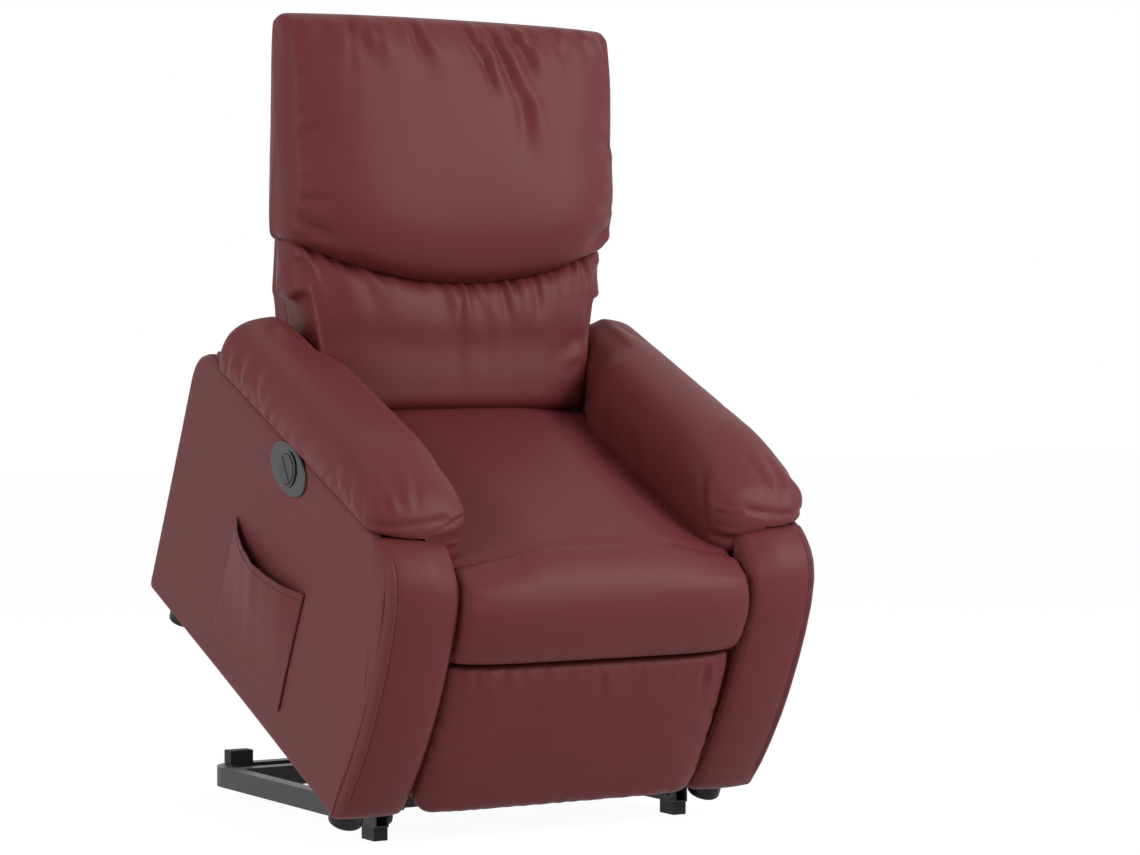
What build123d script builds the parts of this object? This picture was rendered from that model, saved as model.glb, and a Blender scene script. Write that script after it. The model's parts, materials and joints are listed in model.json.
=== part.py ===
"""Powered lift recliner chair, stored in its raised posture.

Frames: the ground frame has +Z up, the chair's front towards -Y and the sitter's
right-hand side (control and pocket) towards -X. BODY is the frame of the upholstered
chair, tipped forward about X, and BACK is the frame of the reclining back inside it.
In BODY and BACK, y runs to the rear and z up along the piece.
"""
from build123d import *
import math
import os

os.makedirs("parts", exist_ok=True)

# ---------------------------------------------------------------- driving dimensions
SIDES = (("left", 1), ("right", -1))
SIGNS = (-1, 1)

LIFT_TILT = 25.2           # forward tip of the raised chair, degrees
LIFT_RISE = 158.2          # height of the chair's own floor line when raised
LIFT_ADVANCE = 40.0        # how far the chair moves forward from lowered to raised
BACK_LEAN = 23.5           # lean of the back when upright, degrees

HALF_WIDTH = 385.0         # outer face of the arms
INNER_HALF_WIDTH = 275.5   # inner face of the arms
PANEL_REAR = 384.0         # rear face of the arms
PANEL_BOTTOM = 41.0
PANEL_TOP = 490.0
PANEL_THICKNESS = 13.0
INNER_PANEL_THICKNESS = 10.0
INNER_PANEL_BOTTOM = 92.2
REAR_TOP_RADIUS = 50.0
FIT = 0.3                  # gap between soft faces and their neighbours
CUSHION_STATIONS = 11      # sections across each lofted cushion
END_SHARPNESS = 6          # how late a cushion starts to draw in towards its ends

FRONT_LOW_Y = -355.0       # arm front profile, from its foot to the pad
FRONT_BELLY_Y = -384.0
FRONT_BELLY_Z = 235.0
FRONT_SHOULDER_Y = -364.0
FRONT_SHOULDER_Z = 441.0
FRONT_TOP_Y = -286.0
FRONT_THICKNESS = 18.0
FRONT_CROWN = 7.0

TOP_BOARD_THICKNESS = 14.0
TOP_BOARD_INSET = 9.0
ARM_PAD_HALF_WIDTH = 66.0
ARM_PAD_HEIGHT = 87.0
ARM_PAD_FRONT = -292.0
ARM_PAD_REAR = 305.0
ARM_PAD_ROUND = 26.0
ARM_PAD_STATIONS = 11
ARM_PAD_END_DROP = 0.4
ARM_PAD_SIDE_BOW = 6.0
ARM_PAD_INNER_SWELL = 28.0 # how far the pad swells over the seat, ahead of the lumbar cushion
SWELL_START_Y = 120.0
SWELL_RUN = 140.0

FOOT_RADIUS = 27.0
FOOT_CENTRE_X = 332.0
FRONT_FOOT_Y = -300.0
REAR_FOOT_Y = 331.0
BASE_BOARD_THICKNESS = 15.0
BASE_BOARD_CLEARANCE = 1.5

SEAT_HALF_WIDTH = 268.0
SEAT_TOP = 476.0
SEAT_CROWN = 8.0
SEAT_SIDE_DROP = 16.0
ROLL_SIDE_SETBACK = 10.0
SEAT_UNDERSIDE = 332.0
SEAT_REAR = 174.0
SEAT_SEAM_Y = -303.0
ROLL_NOSE_Y = -394.0
ROLL_NOSE_Z = 398.0
ROLL_LIP_Y = -374.0
ROLL_LIP_Z = 313.0

SEAT_RAIL_HEIGHT = 36.0
SEAT_RAIL_WIDTH = 26.0
SEAT_RAIL_OUTER = 259.8
RAIL_JOINT = 0.2           # glue line where the seat rails meet
SPRING_WIRE_RADIUS = 2.2
SEAT_SPRING_COUNT = 5
SEAT_SPRING_PITCH = 84.0
SPRING_WAVE = 24.0
SPRING_STEP = 22.0
SPRING_LEAD = 12.0

RAIL_OUTER = 289.0         # base side rails
TUBE_WIDTH = 24.0
TUBE_HEIGHT = 33.0
TUBE_WALL = 2.5
BASE_BOTTOM = 21.0
BASE_FRONT = -290.0
BASE_SEAM = 214.0
BASE_REAR = 308.0
BASE_BEND_RADIUS = 44.0
BASE_CROSS_Y = -120.0
BASE_FOOT_SIZE_Y = 40.0
REAR_PAD_X = 200.0
STOP_LENGTH = 42.0
STOP_HEIGHT = 22.0
STOP_CENTRE_X = 233.0

LINK_THICKNESS = 6.0
LINK_WIDTH = 28.0
PIN_RADIUS = 6.0
PIN_CLEARANCE = 0.05
PIN_HEAD_RADIUS = 10.0
PIN_HEAD_THICKNESS = 3.0
SIDE_GAP = 1.0
LIFT_LINK_OUTER = 258.0
REAR_LINK_BODY_Y = 80.0
REAR_LINK_BODY_Z = 125.0
REAR_LINK_BASE_Z = 70.0
FRONT_LINK_BODY_Y = -250.0
FRONT_LINK_BODY_Z = 110.0
FRONT_LINK_BASE_Z = 75.0
LOOSE_LINK_HOLE = 9.25     # the front link's chair pin floats in this hole
BRACKET_HEEL_Z = 38.0

PLATE_THICKNESS = 6.0
PLATE_INNER = 260.0
PLATE_BOTTOM = 95.0
PLATE_FRONT = -300.0
PLATE_REAR = 262.0
UPPER_RAIL_WIDTH = 22.5
UPPER_RAIL_BOTTOM = 62.0
UPPER_RAIL_HEIGHT = 30.0
UPPER_RAIL_FRONT = -320.0
UPPER_CROSS_WIDTH = 25.0
UPPER_FRONT_CROSS_BOTTOM = 60.0
CROSS_HALF_WIDTH = 247.0   # the front cross tube stops short of the lift links
CROSS_BAR_WIDTH = 12.0
CROSS_LUG_FRONT = -142.0   # and is carried by a lug behind them on each plate
CROSS_LUG_REAR = -117.0
CROSS_LUG_BOTTOM = 110.0
CROSS_LUG_TOP = 136.0
REAR_COVER_TOP = 368.0
REAR_COVER_THICKNESS = 6.0

RECLINE_PIVOT_Y = 215.0
RECLINE_PIVOT_Z = 330.0
UPRIGHT_WIDTH = 22.0
UPRIGHT_OUTER = 254.0
UPRIGHT_FRONT = 4.5
UPRIGHT_BOTTOM = -45.0
UPRIGHT_TOP = 512.0
BACK_SPRING_HEIGHTS = (170.0, 245.0, 320.0, 395.0, 455.0)

SHELL_HALF_WIDTH = 270.0
SHELL_LOW_HALF_WIDTH = 257.0
SHELL_SHOULDER = 292.0
SHELL_HINGE_TOP = 100.0
SHELL_BOTTOM = -20.0
SHELL_TOP = 521.0
SHELL_BACK_LOW = 60.0
SHELL_BACK_TOP = 42.0
SHELL_WALL = 12.0

HEAD_HALF_WIDTH = 312.0
HEAD_TOP = 752.0
HEAD_BOTTOM = 320.0
HEAD_CORNER_LIFT = 74.0
HEAD_BELLY = 144.0
HEAD_BELLY_HEIGHT = 402.0
HEAD_CREST = 92.0
HEAD_SIDE_THINNING = 0.45
HEAD_CORNER_DROP = 70.0
LUMBAR_BOTTOM = 122.0
LUMBAR_DEPTH = 112.0
LUMBAR_HALF_WIDTH = 257.0
LUMBAR_WING_HALF_WIDTH = 294.0
LUMBAR_WING_BOTTOM = 290.0
LUMBAR_WING_SETBACK = 12.0
LUMBAR_SIDE_THINNING = 0.3
CUSHION_BACK = 3.5

BOARD_TOP = 298.0          # footrest
BOARD_BOTTOM = 60.0
BOARD_BACK_Y = -332.0
BOARD_THICKNESS = 12.0
BOARD_HALF_WIDTH = 252.0
PAD_HALF_WIDTH = 264.0
PAD_TOP = 306.0
PAD_BOTTOM = 47.0
PAD_FACE_Y = -372.0
PAD_CROWN = 6.0
PAD_CORNER_DROP = 14.0
FOOTREST_PIVOT_Y = -250.0
FOOTREST_PIVOT_Z = 260.0
FOOTREST_HINGE_Y = -318.0
FOOTREST_HINGE_Z = 150.0
FOOTREST_LINK = 155.0
FOOTREST_LINK_OUTER = 244.0
FOOTREST_LINK_WIDTH = 24.0
TORQUE_TUBE_RADIUS = 13.0

ACTUATOR_BASE_Y = 200.0
ACTUATOR_BASE_Z = 78.0
ACTUATOR_BODY_Y = -230.0
ACTUATOR_BODY_Z = 124.0
ACTUATOR_TUBE_RADIUS = 17.0
ACTUATOR_TUBE_LENGTH = 262.0
ACTUATOR_ROD_RADIUS = 9.5
ACTUATOR_STROKE = 80.0
ROD_END_GAP = 6.0
GEARBOX_SETBACK = 22.0
ROD_TANG_LENGTH = 42.0     # flat tang behind the rod's eye
MOTOR_RADIUS = 27.0
MOTOR_LENGTH = 96.0
GEARBOX_LENGTH = 62.0
GEARBOX_HEIGHT = 58.0
EYE_THICKNESS = 14.0
LOOSE_EYE_RADIUS = 17.5
LOOSE_PIN_RADIUS = 4.5

POCKET_HALF_LENGTH = 127.5
POCKET_BOTTOM = 100.0
POCKET_TOP = 306.0
POCKET_GAPE = 15.0
POCKET_FOOT_DEPTH = 9.0
POCKET_SHEET = 2.0

CONTROL_Y = 1.0
CONTROL_Z = 456.0
BEZEL_HALF_LENGTH = 61.5
BEZEL_HALF_HEIGHT = 38.0
BEZEL_THICKNESS = 4.5
RING_OUTER = 29.0
RING_HEIGHT = 2.5
BUTTON_RADIUS = 24.0
BUTTON_CLEARANCE = 0.4
BUTTON_PROUD = 1.2
BUTTON_DEPTH = 14.0
BUTTON_SLIT = 2.4
BUTTON_SLIT_ANGLE = 35.0
BUTTON_TRAVEL = 2.0
SWITCH_CUP_WALL = 3.0
SWITCH_CUP_DEPTH = 32.0

CONTROL_BOX_LENGTH = 150.0
CONTROL_BOX_DEPTH = 62.0
CONTROL_BOX_HEIGHT = 36.0
INLET_RADIUS = 8.0

# ---------------------------------------------------------------- frames
tilt = math.radians(LIFT_TILT)
HALF_ROOT = math.sqrt(0.5)


def tipped(y, z, angle):
    """(y, z) turned by angle (radians) towards the front about X."""
    return (
        y * math.cos(angle) - z * math.sin(angle),
        y * math.sin(angle) + z * math.cos(angle),
    )


front_reach = tipped(ROLL_NOSE_Y, ROLL_NOSE_Z, tilt)[0]
rear_reach = tipped(PANEL_REAR, PANEL_BOTTOM, tilt)[0]
body_y = -(front_reach + rear_reach) / 2

GROUND = Plane(origin=(0, body_y, 0), x_dir=(1, 0, 0), z_dir=(0, 0, 1))
BODY = Plane(
    origin=(0, body_y, LIFT_RISE),
    x_dir=(1, 0, 0),
    z_dir=(0, -math.sin(tilt), math.cos(tilt)),
)


def leaned(frame, y, z, lean):
    """A frame at (y, z) of the given one, its z leaning to the rear by lean degrees."""
    angle = math.radians(lean)
    up = frame.z_dir * math.cos(angle) + frame.y_dir * math.sin(angle)
    return Plane(origin=frame.from_local_coords((0, y, z)), x_dir=frame.x_dir, z_dir=up)


def side_plane(frame, x):
    """Sketch plane with local axes (y, z) of the frame, facing +X."""
    return Plane(origin=frame.from_local_coords((x, 0, 0)), x_dir=frame.y_dir, z_dir=frame.x_dir)


def level_plane(frame, z):
    """Sketch plane with local axes (x, y) of the frame, facing up."""
    return Plane(origin=frame.from_local_coords((0, 0, z)), x_dir=frame.x_dir, z_dir=frame.z_dir)


def front_plane(frame, y):
    """Sketch plane with local axes (x, z) of the frame, facing the front."""
    return Plane(origin=frame.from_local_coords((0, y, 0)), x_dir=frame.x_dir, z_dir=-frame.y_dir)


BACK = leaned(BODY, RECLINE_PIVOT_Y, RECLINE_PIVOT_Z, BACK_LEAN)


def save(builder, name):
    """Label a finished piece and write it."""
    builder.part.label = name
    export_step(builder.part, f"parts/{name}.step")


def rectangle_between(a0, a1, b0, b1, mode=Mode.ADD):
    """A rectangle between two corners, inside the active sketch."""
    with Locations(((a0 + a1) / 2, (b0 + b1) / 2)):
        Rectangle(abs(a1 - a0), abs(b1 - b0), mode=mode)


def arc_outline(corners, bulges):
    """A closed face of arcs through counter-clockwise corners, each side bowed out."""
    following = corners[1:] + corners[:1]
    with BuildLine() as outline:
        for (y0, z0), (y1, z1), bulge in zip(corners, following, bulges):
            length = math.hypot(y1 - y0, z1 - z0)
            out_y = (z1 - z0) / length * bulge
            out_z = (y0 - y1) / length * bulge
            if bulge:
                ThreePointArc((y0, z0), ((y0 + y1) / 2 + out_y, (z0 + z1) / 2 + out_z), (y1, z1))
            else:
                Line((y0, z0), (y1, z1))
    make_face(outline.edges())


def station_shares(count):
    """Evenly spaced shares from -1 to 1."""
    return [2 * i / (count - 1) - 1 for i in range(count)]


def angle_of(start, end):
    """Direction from one (y, z) point to another, in degrees."""
    return math.degrees(math.atan2(end[1] - start[1], end[0] - start[0]))


def link_outline(start, end, width, hole_radius):
    """A round-ended bar with a hole at each end, inside the active sketch."""
    middle = ((start[0] + end[0]) / 2, (start[1] + end[1]) / 2)
    with Locations(middle):
        SlotCenterToCenter(math.dist(start, end), width, rotation=angle_of(start, end))
    with Locations(start, end):
        Circle(hole_radius, mode=Mode.SUBTRACT)


def base_pin(y, z, base_z):
    """Base pivot at height base_z of a link whose chair pin is at BODY (y, z)."""
    raised_y, raised_z = tipped(y, z, tilt)
    raised_z += LIFT_RISE
    lowered_y, lowered_z = y + LIFT_ADVANCE, z
    run_y, run_z = raised_y - lowered_y, raised_z - lowered_z
    middle_y, middle_z = (raised_y + lowered_y) / 2, (raised_z + lowered_z) / 2
    return middle_y - (base_z - middle_z) * run_z / run_y, base_z


def ground_point(y, z):
    """A BODY point, in the ground frame's own (y, z)."""
    raised_y, raised_z = tipped(y, z, tilt)
    return raised_y, raised_z + LIFT_RISE


# ---------------------------------------------------------------- arms
def arm_front_section(x, crown, thickness):
    """Profile of an arm's padded front at one x: convex face, flat back."""
    with BuildSketch(side_plane(BODY, x)) as section:
        with BuildLine():
            low = (FRONT_LOW_Y, PANEL_BOTTOM + 5)
            shoulder = (FRONT_SHOULDER_Y + crown, FRONT_SHOULDER_Z)
            belly = (FRONT_BELLY_Y + crown, FRONT_BELLY_Z)
            top = (FRONT_TOP_Y, PANEL_TOP)
            brow = (FRONT_TOP_Y - 56 + crown, PANEL_TOP - 15)
            inner_shoulder = (FRONT_SHOULDER_Y + thickness + FRONT_CROWN, FRONT_SHOULDER_Z - 6)
            inner_low = (FRONT_LOW_Y + thickness, PANEL_BOTTOM + 5)
            inner_top = (FRONT_TOP_Y, PANEL_TOP - thickness)
            ThreePointArc(low, belly, shoulder)
            ThreePointArc(shoulder, brow, top)
            Line(top, inner_top)
            Line(inner_top, inner_shoulder)
            Line(inner_shoulder, inner_low)
            Line(inner_low, low)
        make_face()
    return section.sketch


for side, s in SIDES:
    inner = INNER_HALF_WIDTH
    outer = HALF_WIDTH
    front_cut = FRONT_LOW_Y + FRONT_THICKNESS

    with BuildPart() as arm_outer_panel:
        with BuildSketch(side_plane(BODY, s * (outer - PANEL_THICKNESS))):
            with BuildLine():
                back_line = FRONT_SHOULDER_Y + FRONT_THICKNESS + FRONT_CROWN
                Polyline(
                    (front_cut + FIT, PANEL_BOTTOM),
                    (PANEL_REAR, PANEL_BOTTOM),
                    (PANEL_REAR, PANEL_TOP - REAR_TOP_RADIUS),
                )
                RadiusArc(
                    (PANEL_REAR, PANEL_TOP - REAR_TOP_RADIUS),
                    (PANEL_REAR - REAR_TOP_RADIUS, PANEL_TOP),
                    -REAR_TOP_RADIUS,
                )
                Polyline(
                    (PANEL_REAR - REAR_TOP_RADIUS, PANEL_TOP),
                    (FRONT_TOP_Y + FIT, PANEL_TOP),
                    (FRONT_TOP_Y + FIT, PANEL_TOP - FRONT_THICKNESS),
                    (back_line + FIT, FRONT_SHOULDER_Z - 6),
                    (front_cut + FIT, PANEL_BOTTOM),
                )
            make_face()
        extrude(amount=s * PANEL_THICKNESS)
        if s < 0:
            with Locations(side_plane(BODY, s * outer)):
                with Locations((CONTROL_Y, CONTROL_Z)):
                    Cylinder(RING_OUTER + 2, 4 * PANEL_THICKNESS, mode=Mode.SUBTRACT)
    save(arm_outer_panel, f"arm_outer_panel_{side}")

    middle_x = (inner + outer) / 2
    front_sections = [
        arm_front_section(s * inner, FRONT_CROWN, FRONT_THICKNESS),
        arm_front_section(s * middle_x, 0, FRONT_THICKNESS),
        arm_front_section(s * outer, FRONT_CROWN, FRONT_THICKNESS),
    ]
    with BuildPart() as arm_front:
        loft(front_sections)
    save(arm_front, f"arm_front_{side}")

    pad_bottom = PANEL_TOP + TOP_BOARD_THICKNESS + FIT
    pad_length = ARM_PAD_REAR - ARM_PAD_FRONT
    pad_middle_y = (ARM_PAD_REAR + ARM_PAD_FRONT) / 2
    pad_sections = []
    for share in station_shares(ARM_PAD_STATIONS):
        fullness = 1 - ARM_PAD_END_DROP * abs(share) ** END_SHARPNESS
        station_y = pad_middle_y + share * pad_length / 2
        swell = ARM_PAD_INNER_SWELL * min(1, max(0, (SWELL_START_Y - station_y) / SWELL_RUN))
        half = ARM_PAD_HALF_WIDTH * (0.7 + 0.3 * fullness) - ARM_PAD_SIDE_BOW + swell / 2
        pad_centre = (inner + outer - swell) / 2
        height = ARM_PAD_HEIGHT * fullness
        with BuildSketch(front_plane(BODY, station_y)) as section:
            arc_outline(
                [
                    (s * pad_centre - half, pad_bottom),
                    (s * pad_centre + half, pad_bottom),
                    (s * pad_centre + half, pad_bottom + height * 0.86),
                    (s * pad_centre - half, pad_bottom + height * 0.86),
                ],
                [0, ARM_PAD_SIDE_BOW, height * 0.14, ARM_PAD_SIDE_BOW],
            )
            fillet(section.vertices(), ARM_PAD_ROUND * fullness * 0.7)
        pad_sections.append(section.sketch)
    with BuildPart() as arm_pad:
        loft(pad_sections)
    save(arm_pad, f"arm_pad_{side}")

corner_low = PANEL_TOP - REAR_TOP_RADIUS
corner_inset = PANEL_REAR - REAR_TOP_RADIUS
wrap_radius = REAR_TOP_RADIUS - PANEL_THICKNESS

with BuildPart() as arm_inner_panels:
    for s in SIGNS:
        with BuildSketch(side_plane(BODY, s * inner)):
            with BuildLine():
                Polyline(
                    (front_cut + 2, INNER_PANEL_BOTTOM),
                    (PANEL_REAR, INNER_PANEL_BOTTOM),
                    (PANEL_REAR, corner_low),
                )
                ThreePointArc(
                    (PANEL_REAR, corner_low),
                    (corner_inset + REAR_TOP_RADIUS * HALF_ROOT, corner_low + REAR_TOP_RADIUS * HALF_ROOT),
                    (corner_inset, PANEL_TOP),
                )
                Polyline(
                    (corner_inset, PANEL_TOP),
                    (FRONT_TOP_Y + FIT, PANEL_TOP),
                    (FRONT_TOP_Y + FIT, PANEL_TOP - FRONT_THICKNESS),
                    (back_line + FIT, FRONT_SHOULDER_Z - 6),
                    (front_cut + 2, INNER_PANEL_BOTTOM),
                )
            make_face()
        extrude(amount=s * INNER_PANEL_THICKNESS)
save(arm_inner_panels, "arm_inner_panels")

with BuildPart() as arm_rear_panels:
    for s in SIGNS:
        with BuildSketch(side_plane(BODY, s * (inner + INNER_PANEL_THICKNESS))):
            with BuildLine():
                rear_inside = PANEL_REAR - PANEL_THICKNESS
                Polyline(
                    (corner_inset, PANEL_TOP - PANEL_THICKNESS),
                    (corner_inset, PANEL_TOP),
                )
                ThreePointArc(
                    (corner_inset, PANEL_TOP),
                    (corner_inset + REAR_TOP_RADIUS * HALF_ROOT, corner_low + REAR_TOP_RADIUS * HALF_ROOT),
                    (PANEL_REAR, corner_low),
                )
                Polyline(
                    (PANEL_REAR, corner_low),
                    (PANEL_REAR, INNER_PANEL_BOTTOM),
                    (rear_inside, INNER_PANEL_BOTTOM),
                    (rear_inside, corner_low),
                )
                ThreePointArc(
                    (rear_inside, corner_low),
                    (corner_inset + wrap_radius * HALF_ROOT, corner_low + wrap_radius * HALF_ROOT),
                    (corner_inset, PANEL_TOP - PANEL_THICKNESS),
                )
            make_face()
        extrude(amount=s * (outer - PANEL_THICKNESS - inner - INNER_PANEL_THICKNESS))
        with BuildSketch(front_plane(BODY, PANEL_REAR)):
            rectangle_between(
                s * (RAIL_OUTER + BASE_BOARD_CLEARANCE),
                s * (outer - PANEL_THICKNESS),
                PANEL_BOTTOM + BASE_BOARD_THICKNESS,
                INNER_PANEL_BOTTOM,
            )
        extrude(amount=PANEL_THICKNESS)
save(arm_rear_panels, "arm_rear_panels")

with BuildPart() as arm_base_boards:
    with BuildSketch(level_plane(BODY, PANEL_BOTTOM)):
        for s in SIGNS:
            rectangle_between(
                s * (RAIL_OUTER + BASE_BOARD_CLEARANCE),
                s * (outer - PANEL_THICKNESS),
                front_cut + 2,
                PANEL_REAR - PANEL_THICKNESS,
            )
    extrude(amount=BASE_BOARD_THICKNESS)
save(arm_base_boards, "arm_base_boards")

with BuildPart() as arm_top_boards:
    with BuildSketch(level_plane(BODY, PANEL_TOP)):
        for s in SIGNS:
            board_inner = s * (inner + TOP_BOARD_INSET)
            board_outer = s * (outer - TOP_BOARD_INSET)
            board_rear = corner_inset - TOP_BOARD_INSET
            rectangle_between(board_inner, board_outer, FRONT_TOP_Y + TOP_BOARD_INSET, board_rear)
    extrude(amount=TOP_BOARD_THICKNESS)
save(arm_top_boards, "arm_top_boards")

with BuildPart() as chair_feet:
    with BuildSketch(level_plane(BODY, 0)):
        for x in (-FOOT_CENTRE_X, FOOT_CENTRE_X):
            with Locations((x, FRONT_FOOT_Y), (x, REAR_FOOT_Y)):
                Circle(FOOT_RADIUS)
    extrude(amount=PANEL_BOTTOM)
    rims = chair_feet.edges().filter_by(GeomType.CIRCLE)
    low_rims = [e for e in rims if BODY.to_local_coords(e.center()).Z < PANEL_BOTTOM / 2]
    fillet(low_rims, 5)
save(chair_feet, "chair_feet")


# ---------------------------------------------------------------- side pocket
pocket_face = -HALF_WIDTH
with BuildPart() as side_pocket:
    with BuildSketch(front_plane(BODY, -POCKET_HALF_LENGTH)):
        with BuildLine():
            Polyline(
                (pocket_face, POCKET_BOTTOM),
                (pocket_face, POCKET_TOP),
                (pocket_face - POCKET_GAPE, POCKET_TOP),
                (pocket_face - POCKET_GAPE, POCKET_TOP - 60),
                (pocket_face - POCKET_FOOT_DEPTH, POCKET_BOTTOM),
                (pocket_face, POCKET_BOTTOM),
            )
        make_face()
    extrude(amount=-2 * POCKET_HALF_LENGTH)
    with BuildSketch(front_plane(BODY, -POCKET_HALF_LENGTH + POCKET_SHEET)):
        with BuildLine():
            inner_face = pocket_face - POCKET_SHEET
            Polyline(
                (inner_face, POCKET_BOTTOM + POCKET_SHEET),
                (inner_face, POCKET_TOP),
                (pocket_face - POCKET_GAPE + POCKET_SHEET, POCKET_TOP),
                (pocket_face - POCKET_GAPE + POCKET_SHEET, POCKET_TOP - 60),
                (pocket_face - POCKET_FOOT_DEPTH + POCKET_SHEET, POCKET_BOTTOM + POCKET_SHEET),
                (inner_face, POCKET_BOTTOM + POCKET_SHEET),
            )
        make_face()
    extrude(amount=-2 * (POCKET_HALF_LENGTH - POCKET_SHEET), mode=Mode.SUBTRACT)
save(side_pocket, "side_pocket")


# ---------------------------------------------------------------- control on the arm
control_side = side_plane(BODY, -HALF_WIDTH)
control_centre = (CONTROL_Y, CONTROL_Z)
cup_radius = RING_OUTER + 1.6
opening_radius = BUTTON_RADIUS + BUTTON_CLEARANCE

with BuildPart() as control_bezel:
    with BuildSketch(control_side):
        with Locations(control_centre):
            Ellipse(BEZEL_HALF_LENGTH, BEZEL_HALF_HEIGHT)
    extrude(amount=-BEZEL_THICKNESS)
    fillet(control_bezel.faces().sort_by(Axis.X)[0].edges(), BEZEL_THICKNESS * 0.6)
    with BuildSketch(control_side):
        with Locations(control_centre):
            Circle(opening_radius)
    extrude(amount=-BEZEL_THICKNESS, mode=Mode.SUBTRACT)
save(control_bezel, "control_bezel")

ring_face = side_plane(BODY, -HALF_WIDTH - BEZEL_THICKNESS)
with BuildPart() as control_ring:
    with BuildSketch(ring_face):
        with Locations(control_centre):
            Circle(RING_OUTER)
            Circle(opening_radius, mode=Mode.SUBTRACT)
    extrude(amount=-RING_HEIGHT)
    fillet(control_ring.faces().sort_by(Axis.X)[0].edges(), 0.8)
save(control_ring, "control_ring")

button_outer = -HALF_WIDTH - BEZEL_THICKNESS - RING_HEIGHT - BUTTON_PROUD
for name, turn in (("raise_button", 0), ("recline_button", 180)):
    with BuildPart() as button:
        with BuildSketch(side_plane(BODY, button_outer)):
            with Locations(Location(control_centre, BUTTON_SLIT_ANGLE + turn)):
                Circle(BUTTON_RADIUS)
                with Locations((0, -BUTTON_RADIUS + BUTTON_SLIT / 2)):
                    Rectangle(2 * BUTTON_RADIUS, 2 * BUTTON_RADIUS, mode=Mode.SUBTRACT)
        extrude(amount=BUTTON_DEPTH)
        fillet(button.faces().sort_by(Axis.X)[0].edges(), 1.0)
    save(button, name)

cup_floor = button_outer + BUTTON_DEPTH + BUTTON_TRAVEL + 0.5
with BuildPart() as switch_cup:
    with BuildSketch(side_plane(BODY, -HALF_WIDTH)):
        with Locations(control_centre):
            Circle(cup_radius)
    extrude(amount=SWITCH_CUP_DEPTH)
    with BuildSketch(side_plane(BODY, -HALF_WIDTH)):
        with Locations(control_centre):
            Circle(cup_radius - SWITCH_CUP_WALL)
    extrude(amount=cup_floor + HALF_WIDTH, mode=Mode.SUBTRACT)
save(switch_cup, "switch_cup")


# ---------------------------------------------------------------- seat
def seat_section(x, drop, setback):
    """Side profile of the seat cushion with its front roll."""
    with BuildSketch(side_plane(BODY, x)) as section:
        with BuildLine():
            rear_low = (SEAT_REAR, SEAT_UNDERSIDE)
            rear_top = (SEAT_REAR, SEAT_TOP - drop - 4)
            seam = (SEAT_SEAM_Y, SEAT_TOP - drop)
            nose = (ROLL_NOSE_Y + setback, ROLL_NOSE_Z)
            lip = (ROLL_LIP_Y + setback, ROLL_LIP_Z)
            under = (ROLL_LIP_Y + 40, SEAT_UNDERSIDE)
            top_middle = ((SEAT_REAR + SEAT_SEAM_Y) / 2, SEAT_TOP - drop + SEAT_CROWN)
            ThreePointArc(rear_top, top_middle, seam)
            ThreePointArc(seam, (ROLL_NOSE_Y + 28 + setback, ROLL_NOSE_Z + 52 - drop / 2), nose)
            ThreePointArc(nose, (ROLL_NOSE_Y + 2 + setback, ROLL_LIP_Z + 34), lip)
            ThreePointArc(lip, (ROLL_LIP_Y + 17 + setback / 2, SEAT_UNDERSIDE - 6), under)
            Line(under, rear_low)
            Line(rear_low, rear_top)
        make_face()
    return section.sketch


seat_sections = []
for share in station_shares(CUSHION_STATIONS):
    draw_in = abs(share) ** END_SHARPNESS
    crown_loss = 3 * share**2
    side_drop = SEAT_SIDE_DROP * draw_in + crown_loss
    seat_sections.append(seat_section(share * SEAT_HALF_WIDTH, side_drop, ROLL_SIDE_SETBACK * draw_in))
with BuildPart() as seat_cushion:
    loft(seat_sections)
save(seat_cushion, "seat_cushion")

spring_z = SEAT_UNDERSIDE - FIT - SPRING_WIRE_RADIUS
rail_top = spring_z - SPRING_WIRE_RADIUS
rail_front = ROLL_LIP_Y + 46
rail_rear = SEAT_REAR - 6

with BuildPart() as seat_frame:
    with BuildSketch(level_plane(BODY, rail_top)):
        rectangle_between(-SEAT_RAIL_OUTER, SEAT_RAIL_OUTER, rail_front, rail_front + SEAT_RAIL_WIDTH)
        rectangle_between(-SEAT_RAIL_OUTER, SEAT_RAIL_OUTER, rail_rear - SEAT_RAIL_WIDTH, rail_rear)
        for s in SIGNS:
            rectangle_between(
                s * (SEAT_RAIL_OUTER - SEAT_RAIL_WIDTH),
                s * SEAT_RAIL_OUTER,
                rail_front + SEAT_RAIL_WIDTH + RAIL_JOINT,
                rail_rear - SEAT_RAIL_WIDTH - RAIL_JOINT,
            )
    extrude(amount=-SEAT_RAIL_HEIGHT)
save(seat_frame, "seat_frame")

spring_run = rail_rear - rail_front - SEAT_RAIL_WIDTH
spring_waves = int(spring_run / SPRING_STEP / 2) * 2
spring_pitch = spring_run / spring_waves
with BuildPart() as seat_springs:
    for i in range(SEAT_SPRING_COUNT):
        x = (i - (SEAT_SPRING_COUNT - 1) / 2) * SEAT_SPRING_PITCH
        start_y = rail_front + SEAT_RAIL_WIDTH / 2
        points = []
        for k in range(spring_waves + 1):
            sway = SPRING_WAVE * (1 if k % 2 else -1)
            points.append((x + sway, start_y + k * spring_pitch))
        with BuildLine(level_plane(BODY, spring_z)) as path:
            FilletPolyline(*points, radius=spring_pitch * 0.42)
        with BuildSketch(Plane(origin=path.line @ 0, z_dir=path.line % 0)):
            Circle(SPRING_WIRE_RADIUS)
        sweep(path=path.line)
save(seat_springs, "seat_springs")


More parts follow.
